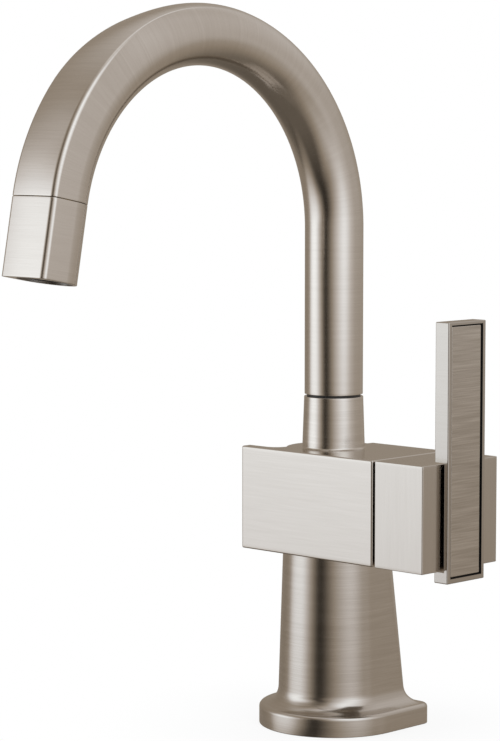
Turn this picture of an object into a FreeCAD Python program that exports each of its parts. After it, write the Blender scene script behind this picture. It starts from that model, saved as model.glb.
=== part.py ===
# Beverage faucet: pedestal casting with a valve block, a side lever and a swivelling arched spout.
# Millimetres, +Z up. The spout points to -Y, the handle is on +X, and the origin is on the column's
# axis in the plane of the deck.
import FreeCAD
import Part
import Sketcher
import math
import operator
import os
from types import SimpleNamespace

SIZES = {
    # Flange on the deck, round in front and squared behind
    "flange_radius": 28.2,
    "flange_back": 25.5,
    "flange_corner": 4.5,
    "flange_height": 7.8,
    "flange_edge": 1.6,
    # Column, which tapers from the squared foot to a round top
    "column_foot_radius": 21.0,
    "column_foot_back": 19.3,
    "column_foot_corner": 2.2,
    "column_top_radius": 17.9,
    "column_fillet": 5.0,
    "round_flat": 0.1,
    # Hollow under the column, with its two stud bosses
    "cavity_radius": 15.0,
    "cavity_top": 58.0,
    "stud_offset": 12.0,
    "stud_boss_radius": 4.4,
    "stud_hole_radius": 2.5,
    "stud_hole_depth": 22.0,
    # Valve block with its thin front plate
    "block_bottom": 66.7,
    "block_height": 39.3,
    "block_half_depth": 21.2,
    "block_left": 28.2,
    "block_right": 38.3,
    "block_inner": 1.0,
    "block_edge": 0.6,
    "plate_thickness": 4.7,
    "plate_fillet": 5.0,
    "plate_overlap": 0.6,
    # Neck and its bore
    "neck_foot_radius": 11.85,
    "neck_top_radius": 11.2,
    "neck_height": 19.6,
    "neck_fillet": 0.75,
    "neck_edge": 0.4,
    "neck_root": 2.0,
    "neck_bore_radius": 8.8,
    "neck_bore_depth": 31.0,
    # Water passages
    "passage_radius": 3.5,
    "outlet_passage_radius": 1.6,
    "outlet_passage_rise": 11.2,
    # Clearances: between fitted pieces, of running pieces, and along an axis
    "fit_gap": 0.05,
    "run_gap": 0.05,
    "end_gap": 0.3,
    "cut_margin": 1.0,
    # Gasket under the flange
    "gasket_inner_radius": 21.4,
    "gasket_outer_radius": 23.9,
    "gasket_thickness": 1.6,
    # Inlet fitting
    "inlet_thread_radius": 5.0,
    "inlet_thread_length": 8.0,
    "inlet_washer_thickness": 1.5,
    "inlet_hex_radius": 6.8,
    "inlet_hex_height": 4.0,
    "inlet_nipple_radius": 4.8,
    "inlet_nipple_length": 13.0,
    # Valve cartridge in the cross bore
    "cartridge_bore_radius": 13.0,
    "cartridge_bore_floor": 12.0,
    "cartridge_nose_radius": 9.8,
    "cartridge_nose_length": 10.5,
    "cartridge_length": 22.0,
    "cartridge_ring_place": 15.5,
    "cartridge_ring_wire": 0.75,
    "cartridge_window_radius": 2.4,
    "disc_radius": 8.4,
    "disc_thickness": 3.0,
    "port_radius": 2.0,
    "port_offset": 4.6,
    "seal_thickness": 2.0,
    "seal_inner_radius": 4.2,
    "seal_outer_radius": 7.4,
    "bonnet_length": 4.0,
    "bonnet_hex_radius": 8.6,
    "bonnet_hex_depth": 2.4,
    "stem_radius": 5.0,
    "stem_flange_length": 4.0,
    "stem_end_radius": 4.5,
    "stem_bore_radius": 1.6,
    "stem_bore_depth": 9.0,
    "stem_flat": 3.6,
    "stem_ring_wire": 0.7,
    "stem_ring_place": 8.0,
    # Handle hub
    "hub_gap": 1.2,
    "hub_length": 22.9,
    "hub_wall": 3.0,
    "hub_end_wall": 3.2,
    "hub_boss_radius": 7.6,
    "hub_boss_inset": 1.4,
    "hub_rib_width": 9.0,
    "hub_screw_radius": 2.4,
    "hub_screw_recess": 1.6,
    # Lever, its tenon and its inlay
    "lever_width": 21.0,
    "lever_thickness": 6.4,
    "lever_lap": 3.5,
    "lever_plate": 1.6,
    "lever_drop": 4.5,
    "lever_length": 95.0,
    "lever_edge": 0.4,
    "notch_gap": 0.4,
    "tenon_width": 14.0,
    "tenon_height": 32.0,
    "tenon_length": 8.6,
    "inlay_depth": 1.0,
    "inlay_groove": 0.9,
    "inlay_edge": 0.2,
    "rim_side": 1.4,
    "rim_end": 1.85,
    "lever_screw_radius": 1.9,
    "lever_screw_offset": 11.4,
    "lever_screw_length": 9.0,
    "lever_screw_head_radius": 3.3,
    "lever_screw_head_height": 2.2,
    "lever_screw_key_radius": 1.5,
    # Spout: riser, bend and the squared outlet
    "spout_radius": 11.05,
    "spout_bore_radius": 8.5,
    "spout_edge": 0.4,
    "swivel_gap": 1.1,
    "riser_length": 62.4,
    "bend_radius": 70.8,
    "bend_angle": 169.4,
    "square_start": 6.0,
    "square_end": 104.0,
    "outlet_corner": 1.8,
    # Swivel shank, bush, rings and set screw
    "shank_radius": 7.6,
    "shank_bore_radius": 5.0,
    "shank_socket": 14.0,
    "shank_tail": 29.0,
    "bush_flange_radius": 10.2,
    "bush_length": 6.8,
    "glide_ring_height": 3.0,
    "glide_ring_place": 25.5,
    "spout_ring_wire": 1.25,
    "spout_ring_place": 17.0,
    "spout_ring_pitch": 4.6,
    "spout_screw_radius": 1.5,
    "spout_screw_place": 11.5,
    "spout_screw_groove": 1.0,
    "spout_screw_recess": 0.5,
    # Nozzle below the seam, its joiner and its flow former
    "nozzle_length": 27.7,
    "nozzle_seam": 0.15,
    "nozzle_edge": 0.2,
    "joiner_radius": 9.0,
    "joiner_bore_radius": 6.5,
    "joiner_depth": 9.0,
    "joiner_reach": 9.0,
    "joiner_ring_wire": 0.8,
    "joiner_ring_place": 4.5,
    "aerator_radius": 9.6,
    "aerator_pocket": 14.0,
    "aerator_recess": 0.7,
    "aerator_gasket_thickness": 1.5,
    "aerator_gasket_inner_radius": 6.8,
    "aerator_wall": 2.3,
    "aerator_lip": 1.0,
    "aerator_lip_height": 1.6,
    "screen_thickness": 1.2,
    "screen_hole_radius": 0.55,
    "screen_hole_pitch": 1.9,
}

# Counts that the pieces are made with
SPOUT_SECTIONS = 12
SCREEN_RINGS = 3
HEXAGON = 6

doc = FreeCAD.newDocument("beverage_faucet")
sheet = doc.addObject("Spreadsheet::Sheet", "sizes")
for row, (name, value) in enumerate(SIZES.items(), start=1):
    sheet.set(f"A{row}", name)
    sheet.set(f"B{row}", str(value))
    sheet.setAlias(f"B{row}", name)
doc.recompute()

OPERATIONS = {"+": operator.add, "-": operator.sub, "*": operator.mul, "/": operator.truediv}


class Size:
    """A number together with the sheet formula that gives it."""

    def __init__(self, value, formula):
        self.value = value
        self.formula = formula

    def __add__(self, other):
        return combine(self, "+", other)

    def __radd__(self, other):
        return combine(other, "+", self)

    def __sub__(self, other):
        return combine(self, "-", other)

    def __rsub__(self, other):
        return combine(other, "-", self)

    def __mul__(self, other):
        return combine(self, "*", other)

    def __rmul__(self, other):
        return combine(other, "*", self)

    def __truediv__(self, other):
        return combine(self, "/", other)

    def __neg__(self):
        return combine(-1, "*", self)


def as_size(number):
    """A plain number as a size that depends on no cell."""
    if isinstance(number, Size):
        return number
    return Size(float(number), str(float(number)))


def combine(left, sign, right):
    """The size that an arithmetic sign makes of two others."""
    left = as_size(left)
    right = as_size(right)
    value = OPERATIONS[sign](left.value, right.value)
    return Size(value, f"({left.formula} {sign} {right.formula})")


def cosine(angle):
    """Cosine of a size in degrees."""
    return Size(math.cos(math.radians(angle.value)), f"cos({angle.formula})")


def sine(angle):
    """Sine of a size in degrees."""
    return Size(math.sin(math.radians(angle.value)), f"sin({angle.formula})")


def root(square):
    """Square root of a size."""
    return Size(math.sqrt(square.value), f"sqrt({square.formula})")


def bind(feature, path, size):
    """Ties one property of a feature to the sheet."""
    size = as_size(size)
    if "sizes." in size.formula:
        feature.setExpression(path, size.formula)


d = SimpleNamespace(**{name: Size(value, f"sizes.{name}") for name, value in SIZES.items()})
zero = as_size(0)

# Levels and places that several pieces share
block_top = d.block_bottom + d.block_height
neck_top = block_top + d.neck_height
handle_height = d.block_bottom + d.block_height / 2
riser_bottom = neck_top + d.swivel_gap
bend_height = riser_bottom + d.riser_length
outlet_y = d.bend_radius * (cosine(d.bend_angle) - 1)
outlet_z = bend_height + d.bend_radius * sine(d.bend_angle)
hub_left = d.block_right + d.hub_gap
hub_right = hub_left + d.hub_length
lever_inner = hub_right - d.lever_lap
lever_outer = lever_inner + d.lever_thickness
notch_floor = lever_outer - d.lever_plate
lever_bottom = d.block_bottom - d.lever_drop
lever_top = lever_bottom + d.lever_length
tenon_end = notch_floor - d.tenon_length
hub_hollow_end = tenon_end - d.end_gap - d.hub_end_wall
hub_boss_start = hub_left + d.hub_boss_inset
hub_rib_length = hub_hollow_end - hub_boss_start - d.lever_screw_head_height - 2 * d.end_gap
hub_screw_place = hub_boss_start + hub_rib_length / 2

pieces = []
X_AXIS = FreeCAD.Vector(1, 0, 0)
Y_AXIS = FreeCAD.Vector(0, 1, 0)
Z_AXIS = FreeCAD.Vector(0, 0, 1)


def new_body(label, piece=True):
    """A body; a piece of the assembly is also put on the list of pieces."""
    body = doc.addObject("PartDesign::Body", label)
    body.Label = label
    if piece:
        pieces.append(body)
    return body


def new_sketch(body, name, role, offset=zero):
    """A sketch on one of the body's origin planes, moved along that plane's normal."""
    plane = next(f for f in body.Origin.OriginFeatures if f.Role == role)
    sketch = body.newObject("Sketcher::SketchObject", f"{body.Label}_{name}")
    sketch.AttachmentSupport = [(plane, "")]
    sketch.MapMode = "FlatFace"
    sketch.AttachmentOffset = FreeCAD.Placement(Z_AXIS * offset.value, FreeCAD.Rotation())
    bind(sketch, "AttachmentOffset.Base.z", offset)
    return sketch


def constrain(sketch, kind, references, size, name):
    """A dimension in a sketch, bound to the sheet."""
    constraint = Sketcher.Constraint(kind, *references, size.value)
    constraint.Name = name
    sketch.addConstraint(constraint)
    bind(sketch, f"Constraints.{name}", size)


def place_point(sketch, geometry, point, across, up, name):
    """Two dimensions that put one point of a sketch at its distances from the sketch's origin."""
    constrain(sketch, "DistanceX", (-1, 1, geometry, point), as_size(across), f"{name}_across")
    constrain(sketch, "DistanceY", (-1, 1, geometry, point), as_size(up), f"{name}_up")


def arc_between(start, end, radius):
    """The short arc from start to end: a positive radius turns left, a negative one right."""
    chord = end - start
    rise = math.sqrt(max(radius * radius - chord.Length ** 2 / 4, 0))
    left = FreeCAD.Vector(-chord.y, chord.x, 0) / chord.Length
    centre = (start + end) / 2 + left * math.copysign(rise, radius)
    first, last = (start, end) if radius > 0 else (end, start)
    first_angle = math.atan2(first.y - centre.y, first.x - centre.x)
    last_angle = math.atan2(last.y - centre.y, last.x - centre.x)
    return Part.ArcOfCircle(Part.Circle(centre, Z_AXIS, abs(radius)), first_angle, last_angle)


def outline(sketch, corners):
    """A closed outline through corners (across, up) or (across, up, radius).

    The radius bends the side that leaves the corner, to the left when it is positive.
    """
    corners = [tuple(as_size(number) for number in corner) for corner in corners]
    points = [FreeCAD.Vector(corner[0].value, corner[1].value, 0) for corner in corners]
    ends = []
    for index, corner in enumerate(corners):
        start = points[index]
        end = points[(index + 1) % len(points)]
        if len(corner) == 2:
            sketch.addGeometry(Part.LineSegment(start, end))
            ends.append((1, 2))
            continue
        sketch.addGeometry(arc_between(start, end, corner[2].value))
        ends.append((1, 2) if corner[2].value > 0 else (2, 1))
    for index, corner in enumerate(corners):
        following = (index + 1) % len(corners)
        joint = Sketcher.Constraint("Coincident", index, ends[index][1], following, ends[following][0])
        sketch.addConstraint(joint)
    for index, corner in enumerate(corners):
        place_point(sketch, index, ends[index][0], corner[0], corner[1], f"corner{index}")
        if len(corner) == 3:
            radius = corner[2] if corner[2].value > 0 else -corner[2]
            constrain(sketch, "Radius", (index,), radius, f"bend{index}")


def circle(sketch, radius, across=zero, up=zero):
    """A circle in a sketch."""
    centre = FreeCAD.Vector(as_size(across).value, as_size(up).value, 0)
    index = sketch.addGeometry(Part.Circle(centre, Z_AXIS, radius.value))
    place_point(sketch, index, 3, across, up, f"centre{index}")
    constrain(sketch, "Radius", (index,), radius, f"radius{index}")


def rectangle(sketch, left, right, bottom, top):
    """A rectangle in a sketch."""
    outline(sketch, [(left, bottom), (right, bottom), (right, top), (left, top)])


def hexagon(sketch, radius):
    """A hexagon about the sketch's origin, of the given corner radius."""
    turns = [2 * math.pi * corner / HEXAGON for corner in range(HEXAGON)]
    outline(sketch, [(radius * math.cos(turn), radius * math.sin(turn)) for turn in turns])


def extrude(body, kind, sketch, length, backwards=False):
    """A Pad or a Pocket of a sketch; backwards turns it round."""
    feature = body.newObject(f"PartDesign::{kind}", f"{sketch.Name}_{kind}")
    feature.Profile = sketch
    feature.Reversed = backwards
    feature.Length = length.value
    bind(feature, "Length", length)
    return feature


def revolve(body, corners):
    """A closed outline of (radius, height) turned about the body's own Z axis."""
    sketch = new_sketch(body, "profile", "XZ_Plane")
    outline(sketch, corners)
    feature = body.newObject("PartDesign::Revolution", f"{body.Label}_turned")
    feature.Profile = sketch
    feature.ReferenceAxis = (sketch, ["V_Axis"])
    feature.Angle = 360
    return feature


def tube(inner, outer, bottom, top):
    """Corners of a plain ring for revolve."""
    return [(inner, bottom), (outer, bottom), (outer, top), (inner, top)]


def edges_where(feature, test):
    """Names of a feature's edges whose middle point passes the test."""
    doc.recompute()
    names = []
    for number, edge in enumerate(feature.Shape.Edges, start=1):
        middle = edge.valueAt((edge.FirstParameter + edge.LastParameter) / 2)
        if test(middle):
            names.append(f"Edge{number}")
    return names


def soften(body, base, names, radius):
    """A fillet on the named edges of the body's last feature."""
    feature = body.newObject("PartDesign::Fillet", f"{base.Name}_soft")
    feature.Base = (base, names)
    feature.Radius = radius.value
    bind(feature, "Radius", radius)
    return feature


def near(number, size):
    """Whether a coordinate lies at a size, to within rounding."""
    return abs(number - as_size(size).value) < 1e-4


def place(feature, x=zero, y=zero, z=zero, axis=Z_AXIS, angle=zero):
    """Puts a feature at a place bound to the sheet, turned about an axis."""
    x, y, z, angle = as_size(x), as_size(y), as_size(z), as_size(angle)
    base = FreeCAD.Vector(x.value, y.value, z.value)
    feature.Placement = FreeCAD.Placement(base, FreeCAD.Rotation(axis, angle.value))
    for path, size in (("Base.x", x), ("Base.y", y), ("Base.z", z), ("Rotation.Angle", angle)):
        bind(feature, f"Placement.{path}", size)


def along_handle(feature, start=zero, height=handle_height):
    """Lays a feature's own Z axis along the handle's axis, towards +X."""
    place(feature, x=start, z=height, axis=Y_AXIS, angle=90)


def at_outlet(feature):
    """Puts a feature's origin at the end of the bend, with +Z along the flow and +Y on the outer side."""
    place(feature, y=outlet_y, z=outlet_z, axis=X_AXIS, angle=d.bend_angle)


def cylinder(name, radius, height):
    """A cylinder standing on its own origin."""
    feature = doc.addObject("Part::Cylinder", name)
    bind(feature, "Radius", radius)
    bind(feature, "Height", height)
    return feature


def ring(label, ring_radius, wire_radius):
    """A round-wire seal ring about its own Z axis."""
    feature = doc.addObject("Part::Torus", label)
    feature.Label = label
    bind(feature, "Radius1", ring_radius)
    bind(feature, "Radius2", wire_radius)
    return feature


def group(kind, label, members):
    """A fusion or a compound of several features."""
    feature = doc.addObject(f"Part::{kind}", label)
    feature.Label = label
    if kind == "Compound":
        feature.Links = members
    else:
        feature.Shapes = members
    return feature


def cut(label, base, tool):
    """One feature with another taken away."""
    feature = doc.addObject("Part::Cut", label)
    feature.Label = label
    feature.Base = base
    feature.Tool = tool
    return feature


def squared_round(radius, back, corner):
    """Corners of a plan that is round towards -y and squared towards +y, with rounded back corners."""
    flat = radius - corner
    return [
        (radius, zero),
        (radius, back - corner, corner),
        (flat, back),
        (-flat, back, corner),
        (-radius, back - corner),
        (-radius, zero, radius),
        (zero, -radius, radius),
    ]


# Pedestal: the flange, the column that rises from it, and the hollow fillet between them
def make_pedestal():
    body = new_body("pedestal", piece=False)
    plan = new_sketch(body, "flange", "XY_Plane")
    outline(plan, squared_round(d.flange_radius, d.flange_back, d.flange_corner))
    extrude(body, "Pad", plan, d.flange_height)
    foot = new_sketch(body, "foot", "XY_Plane", d.flange_height)
    outline(foot, squared_round(d.column_foot_radius, d.column_foot_back, d.column_foot_corner))
    head = new_sketch(body, "head", "XY_Plane", block_top)
    round_corner = d.column_top_radius - d.round_flat
    outline(head, squared_round(d.column_top_radius, d.column_top_radius, round_corner))
    column = body.newObject("PartDesign::AdditiveLoft", "column")
    column.Profile = foot
    column.Sections = [head]
    column.Ruled = True
    between = (d.flange_radius.value + d.column_foot_radius.value) / 2
    between_back = (d.flange_back.value + d.column_foot_back.value) / 2

    def on_column(point):
        if not near(point.z, d.flange_height):
            return False
        in_front = point.y >= 0 or math.hypot(point.x, point.y) < between
        return in_front and abs(point.x) < between and point.y < between_back

    def on_rim(point):
        return near(point.z, d.flange_height) and not on_column(point)

    foot_edges = edges_where(column, on_column)
    blended = soften(body, column, foot_edges, d.column_fillet)
    soften(body, blended, edges_where(blended, on_rim), d.flange_edge)
    return body


# Valve block: full depth on the handle's side, and only a thin front plate on the other
def make_valve_block():
    body = new_body("valve_block", piece=False)
    plan = new_sketch(body, "plan", "XY_Plane", d.block_bottom)
    front = -d.block_half_depth
    plate_back = front + d.plate_thickness
    buried = d.column_top_radius - d.plate_overlap
    centre_y = plate_back + d.plate_fillet
    centre_x = -root((buried + d.plate_fillet) * (buried + d.plate_fillet) - centre_y * centre_y)
    share = buried / (buried + d.plate_fillet)
    corners = [
        (-d.block_left, front),
        (d.block_right, front),
        (d.block_right, d.block_half_depth),
        (d.block_inner, d.block_half_depth),
        (d.block_inner, zero),
        (centre_x * share, centre_y * share, -d.plate_fillet),
        (centre_x, plate_back),
        (-d.block_left, plate_back),
    ]
    outline(plan, corners)
    block = extrude(body, "Pad", plan, d.block_height)

    def on_outside(point):
        sides = (
            near(point.x, -d.block_left),
            near(point.x, d.block_right),
            near(abs(point.y), d.block_half_depth),
        )
        return any(sides)

    soften(body, block, edges_where(block, on_outside), d.block_edge)
    return body


# Neck: a slightly conical collar that carries the spout
def make_neck():
    body = new_body("neck", piece=False)
    corners = [
        (zero, block_top - d.neck_root),
        (d.neck_foot_radius + d.neck_fillet, block_top - d.neck_root),
        (d.neck_foot_radius + d.neck_fillet, block_top, -d.neck_fillet),
        (d.neck_foot_radius, block_top + d.neck_fillet),
        (d.neck_top_radius, neck_top - d.neck_edge, d.neck_edge),
        (d.neck_top_radius - d.neck_edge, neck_top),
        (zero, neck_top),
    ]
    revolve(body, corners)
    return body


# Body casting: pedestal, block and neck in one, with its hollow, bores and water passages
def make_body_casting():
    outside = group("MultiFuse", "casting_outside", [make_pedestal(), make_valve_block(), make_neck()])
    hollow = cylinder("hollow", d.cavity_radius, d.cavity_top + d.cut_margin)
    place(hollow, z=-d.cut_margin)
    bosses = []
    tools = []
    for side, sign in (("left", -1), ("right", 1)):
        boss = cylinder(f"stud_boss_{side}", d.stud_boss_radius, d.cavity_top + d.cut_margin)
        place(boss, x=sign * d.stud_offset, z=-d.cut_margin)
        bosses.append(boss)
        hole = cylinder(f"stud_hole_{side}", d.stud_hole_radius, d.stud_hole_depth + d.cut_margin)
        place(hole, x=sign * d.stud_offset, z=-d.cut_margin)
        tools.append(hole)
    tools.append(cut("hollow_round_bosses", hollow, group("MultiFuse", "stud_bosses", bosses)))
    outer = cylinder("gasket_seat_outer", d.gasket_outer_radius + d.fit_gap, d.gasket_thickness + d.cut_margin)
    inner = cylinder("gasket_seat_inner", d.gasket_inner_radius - d.fit_gap, d.gasket_thickness + d.cut_margin)
    place(outer, z=-d.cut_margin)
    place(inner, z=-d.cut_margin)
    tools.append(cut("gasket_seat", outer, inner))
    thread = cylinder("inlet_thread", d.inlet_thread_radius + d.fit_gap, d.inlet_thread_length + d.cut_margin)
    place(thread, z=d.cavity_top - d.cut_margin)
    riser = cylinder("inlet_passage", d.passage_radius, handle_height - d.cavity_top)
    place(riser, z=d.cavity_top)
    crossing = cylinder("cross_passage", d.passage_radius, d.cartridge_bore_floor + d.cut_margin)
    along_handle(crossing)
    bore = cylinder("cartridge_bore", d.cartridge_bore_radius,
                    d.block_right - d.cartridge_bore_floor + d.cut_margin)
    along_handle(bore, d.cartridge_bore_floor)
    outlet = cylinder("outlet_passage", d.outlet_passage_radius, d.cartridge_bore_floor + d.cut_margin)
    along_handle(outlet, height=handle_height + d.outlet_passage_rise)
    throat = cylinder("neck_bore", d.neck_bore_radius, d.neck_bore_depth + d.cut_margin)
    place(throat, z=neck_top - d.neck_bore_depth)
    screw = cylinder("spout_screw_hole", d.spout_screw_radius + d.fit_gap, d.neck_foot_radius)
    place(screw, y=d.shank_radius, z=neck_top - d.spout_screw_place, axis=X_AXIS, angle=-90)
    tools += [thread, riser, crossing, bore, outlet, throat, screw]
    pieces.append(cut("body_casting", outside, group("MultiFuse", "casting_inside", tools)))


# Gasket let into the flange, flush with the deck
def make_base_gasket():
    body = new_body("base_gasket")
    revolve(body, tube(d.gasket_inner_radius, d.gasket_outer_radius, zero, d.gasket_thickness))


# Inlet fitting: thread, hexagon and nipple on one axis, with a washer above the hexagon
def make_inlet():
    hex_top = d.cavity_top - d.inlet_washer_thickness
    hex_bottom = hex_top - d.inlet_hex_height
    nipple_end = hex_bottom - d.inlet_nipple_length
    body = new_body("inlet_fitting")
    thread_top = d.cavity_top + d.inlet_thread_length - d.end_gap
    revolve(body, [
        (d.passage_radius, nipple_end),
        (d.inlet_nipple_radius, nipple_end),
        (d.inlet_nipple_radius, hex_bottom),
        (d.inlet_thread_radius, hex_bottom),
        (d.inlet_thread_radius, thread_top),
        (d.passage_radius, thread_top),
    ])
    flats = new_sketch(body, "hexagon", "XY_Plane", hex_bottom)
    hexagon(flats, d.inlet_hex_radius)
    circle(flats, d.inlet_thread_radius - d.fit_gap)
    extrude(body, "Pad", flats, d.inlet_hex_height)
    washer = new_body("inlet_washer")
    across_flats = d.inlet_hex_radius * math.cos(math.pi / HEXAGON)
    revolve(washer, tube(d.inlet_thread_radius + d.fit_gap, across_flats, hex_top, d.cavity_top))


# Places along the handle's axis, from the floor of the cross bore outwards
disc_start = d.cartridge_bore_floor + d.seal_thickness
moving_start = disc_start + d.disc_thickness + d.run_gap
stem_start = moving_start + d.disc_thickness
stem_shoulder = stem_start + d.stem_flange_length
cartridge_end = d.cartridge_bore_floor + d.cartridge_length
stem_end = hub_hollow_end - d.end_gap
stem_ring_centre = stem_shoulder + d.stem_ring_place / 2


# Cartridge sleeve: nose with two windows, ring groove, and a seat for the discs
def make_cartridge_body():
    body = new_body("cartridge_body")
    along_handle(body)
    outer = d.cartridge_bore_radius - d.fit_gap
    groove_floor = outer - 2 * d.cartridge_ring_wire - d.fit_gap
    groove_middle = d.cartridge_bore_floor + d.cartridge_ring_place
    groove_half = d.cartridge_ring_wire + d.end_gap / 2
    disc_seat = d.disc_radius + d.run_gap
    stem_seat = d.stem_radius + d.run_gap
    shoulder = stem_shoulder + d.end_gap
    nose_end = d.cartridge_bore_floor + d.cartridge_nose_length
    revolve(body, [
        (disc_seat, d.cartridge_bore_floor),
        (d.cartridge_nose_radius, d.cartridge_bore_floor),
        (d.cartridge_nose_radius, nose_end),
        (outer, nose_end),
        (outer, groove_middle - groove_half),
        (groove_floor, groove_middle - groove_half),
        (groove_floor, groove_middle + groove_half),
        (outer, groove_middle + groove_half),
        (outer, cartridge_end),
        (stem_seat, cartridge_end),
        (stem_seat, shoulder),
        (disc_seat, shoulder),
    ])
    window = new_sketch(body, "window", "XZ_Plane")
    circle(window, d.cartridge_window_radius, up=moving_start + d.disc_thickness / 2)
    opening = extrude(body, "Pocket", window, d.cartridge_bore_radius)
    repeat_round(body, opening, 2)
    seal = ring("cartridge_oring", outer - d.cartridge_ring_wire, d.cartridge_ring_wire)
    along_handle(seal, groove_middle)
    pieces.append(seal)


def repeat_round(body, feature, count):
    """Copies of a feature about the body's Z axis."""
    pattern = body.newObject("PartDesign::PolarPattern", f"{feature.Name}_round")
    pattern.Originals = [feature]
    axis = next(f for f in body.Origin.OriginFeatures if f.Role == "Z_Axis")
    pattern.Axis = (axis, [""])
    pattern.Angle = 360
    pattern.Occurrences = count
    body.Tip = pattern
    return pattern


# Ceramic discs: the fixed one has its ports above and below, the moving one in front and behind
def make_disc(label, start, across, up):
    body = new_body(label)
    along_handle(body)
    face = new_sketch(body, "face", "XY_Plane", start)
    circle(face, d.disc_radius)
    for sign in (-1, 1):
        circle(face, d.port_radius, sign * across, sign * up)
    extrude(body, "Pad", face, d.disc_thickness)


def make_seat_seal():
    body = new_body("seat_seal")
    along_handle(body)
    revolve(body, tube(d.seal_inner_radius, d.seal_outer_radius, d.cartridge_bore_floor, disc_start))


# Bonnet nut: a threaded ring with a hexagon socket, which holds the cartridge in its bore
def make_bonnet_nut():
    body = new_body("bonnet_nut")
    along_handle(body)
    outer = d.cartridge_bore_radius - d.fit_gap
    end = cartridge_end + d.bonnet_length
    revolve(body, tube(d.stem_radius + d.end_gap, outer, cartridge_end, end))
    socket = new_sketch(body, "socket", "XY_Plane", end)
    hexagon(socket, d.bonnet_hex_radius)
    extrude(body, "Pocket", socket, d.bonnet_hex_depth)


# Stem: a flange that turns the moving disc, a ring groove, and a flat for the hub's set screw
def make_cartridge_stem():
    body = new_body("cartridge_stem")
    along_handle(body)
    groove_floor = d.stem_radius - 2 * d.stem_ring_wire - d.fit_gap
    groove_half = d.stem_ring_wire + d.end_gap / 2
    revolve(body, [
        (zero, stem_start),
        (d.disc_radius, stem_start),
        (d.disc_radius, stem_shoulder),
        (d.stem_radius, stem_shoulder),
        (d.stem_radius, stem_ring_centre - groove_half),
        (groove_floor, stem_ring_centre - groove_half),
        (groove_floor, stem_ring_centre + groove_half),
        (d.stem_radius, stem_ring_centre + groove_half),
        (d.stem_radius, d.block_right),
        (d.stem_end_radius, d.block_right),
        (d.stem_end_radius, stem_end),
        (d.stem_bore_radius, stem_end),
        (d.stem_bore_radius, stem_end - d.stem_bore_depth),
        (zero, stem_end - d.stem_bore_depth),
    ])
    flat = new_sketch(body, "flat", "XY_Plane", stem_end)
    rectangle(flat, d.stem_flat, d.stem_radius, -d.stem_radius, d.stem_radius)
    extrude(body, "Pocket", flat, stem_end - hub_left)
    seal = ring("stem_oring", d.stem_radius - d.stem_ring_wire, d.stem_ring_wire)
    along_handle(seal, stem_ring_centre)
    pieces.append(seal)


# Hub: a hollow square casting with a boss for the stem, a rib for its screw and a mortise for the lever
def make_handle_hub():
    body = new_body("handle_hub")
    face = new_sketch(body, "face", "YZ_Plane", hub_left)
    rectangle(face, -d.block_half_depth, d.block_half_depth, d.block_bottom, block_top)
    bar = extrude(body, "Pad", face, d.hub_length)
    soften(body, bar, edges_where(bar, lambda point: True), d.block_edge)
    inside = new_sketch(body, "inside", "YZ_Plane", hub_left)
    half_width = d.block_half_depth - d.hub_wall
    rectangle(inside, -half_width, half_width, d.block_bottom + d.hub_wall, block_top - d.hub_wall)
    extrude(body, "Pocket", inside, hub_hollow_end - hub_left, backwards=True)
    boss = new_sketch(body, "boss", "YZ_Plane", hub_boss_start)
    circle(boss, d.hub_boss_radius, up=handle_height)
    boss_length = hub_hollow_end - hub_boss_start
    extrude(body, "Pad", boss, boss_length)
    rib = new_sketch(body, "rib", "YZ_Plane", hub_boss_start)
    half_rib = d.hub_rib_width / 2
    rectangle(rib, -half_rib, half_rib, d.block_bottom + d.hub_wall / 2, handle_height)
    extrude(body, "Pad", rib, hub_rib_length)
    socket = new_sketch(body, "socket", "YZ_Plane", hub_boss_start)
    circle(socket, d.stem_end_radius + d.fit_gap, up=handle_height)
    extrude(body, "Pocket", socket, boss_length, backwards=True)
    mortise = new_sketch(body, "mortise", "YZ_Plane", hub_right)
    half_tenon = d.tenon_width / 2 + d.fit_gap
    rise = d.tenon_height / 2 + d.fit_gap
    rectangle(mortise, -half_tenon, half_tenon, handle_height - rise, handle_height + rise)
    extrude(body, "Pocket", mortise, hub_right - tenon_end + d.end_gap)
    holes = new_sketch(body, "screw_holes", "YZ_Plane", hub_hollow_end)
    for sign in (-1, 1):
        circle(holes, d.lever_screw_radius + d.fit_gap, up=handle_height + sign * d.lever_screw_offset)
    extrude(body, "Pocket", holes, d.hub_end_wall + d.end_gap, backwards=True)
    drill = new_sketch(body, "set_screw_hole", "XY_Plane", d.block_bottom)
    circle(drill, d.hub_screw_radius + d.fit_gap, across=hub_screw_place)
    extrude(body, "Pocket", drill, d.block_height / 2, backwards=True)


# Set screw under the hub, which bears on the stem's flat
def make_hub_set_screw():
    body = new_body("hub_set_screw")
    place(body, x=hub_screw_place)
    bottom = d.block_bottom + d.hub_screw_recess
    top = handle_height - d.stem_flat - d.fit_gap
    key = d.hub_screw_radius / 2
    revolve(body, [
        (zero, bottom + d.hub_screw_radius),
        (key, bottom + d.hub_screw_radius),
        (key, bottom),
        (d.hub_screw_radius, bottom),
        (d.hub_screw_radius, top - key),
        (key, top),
        (zero, top),
    ])


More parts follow.
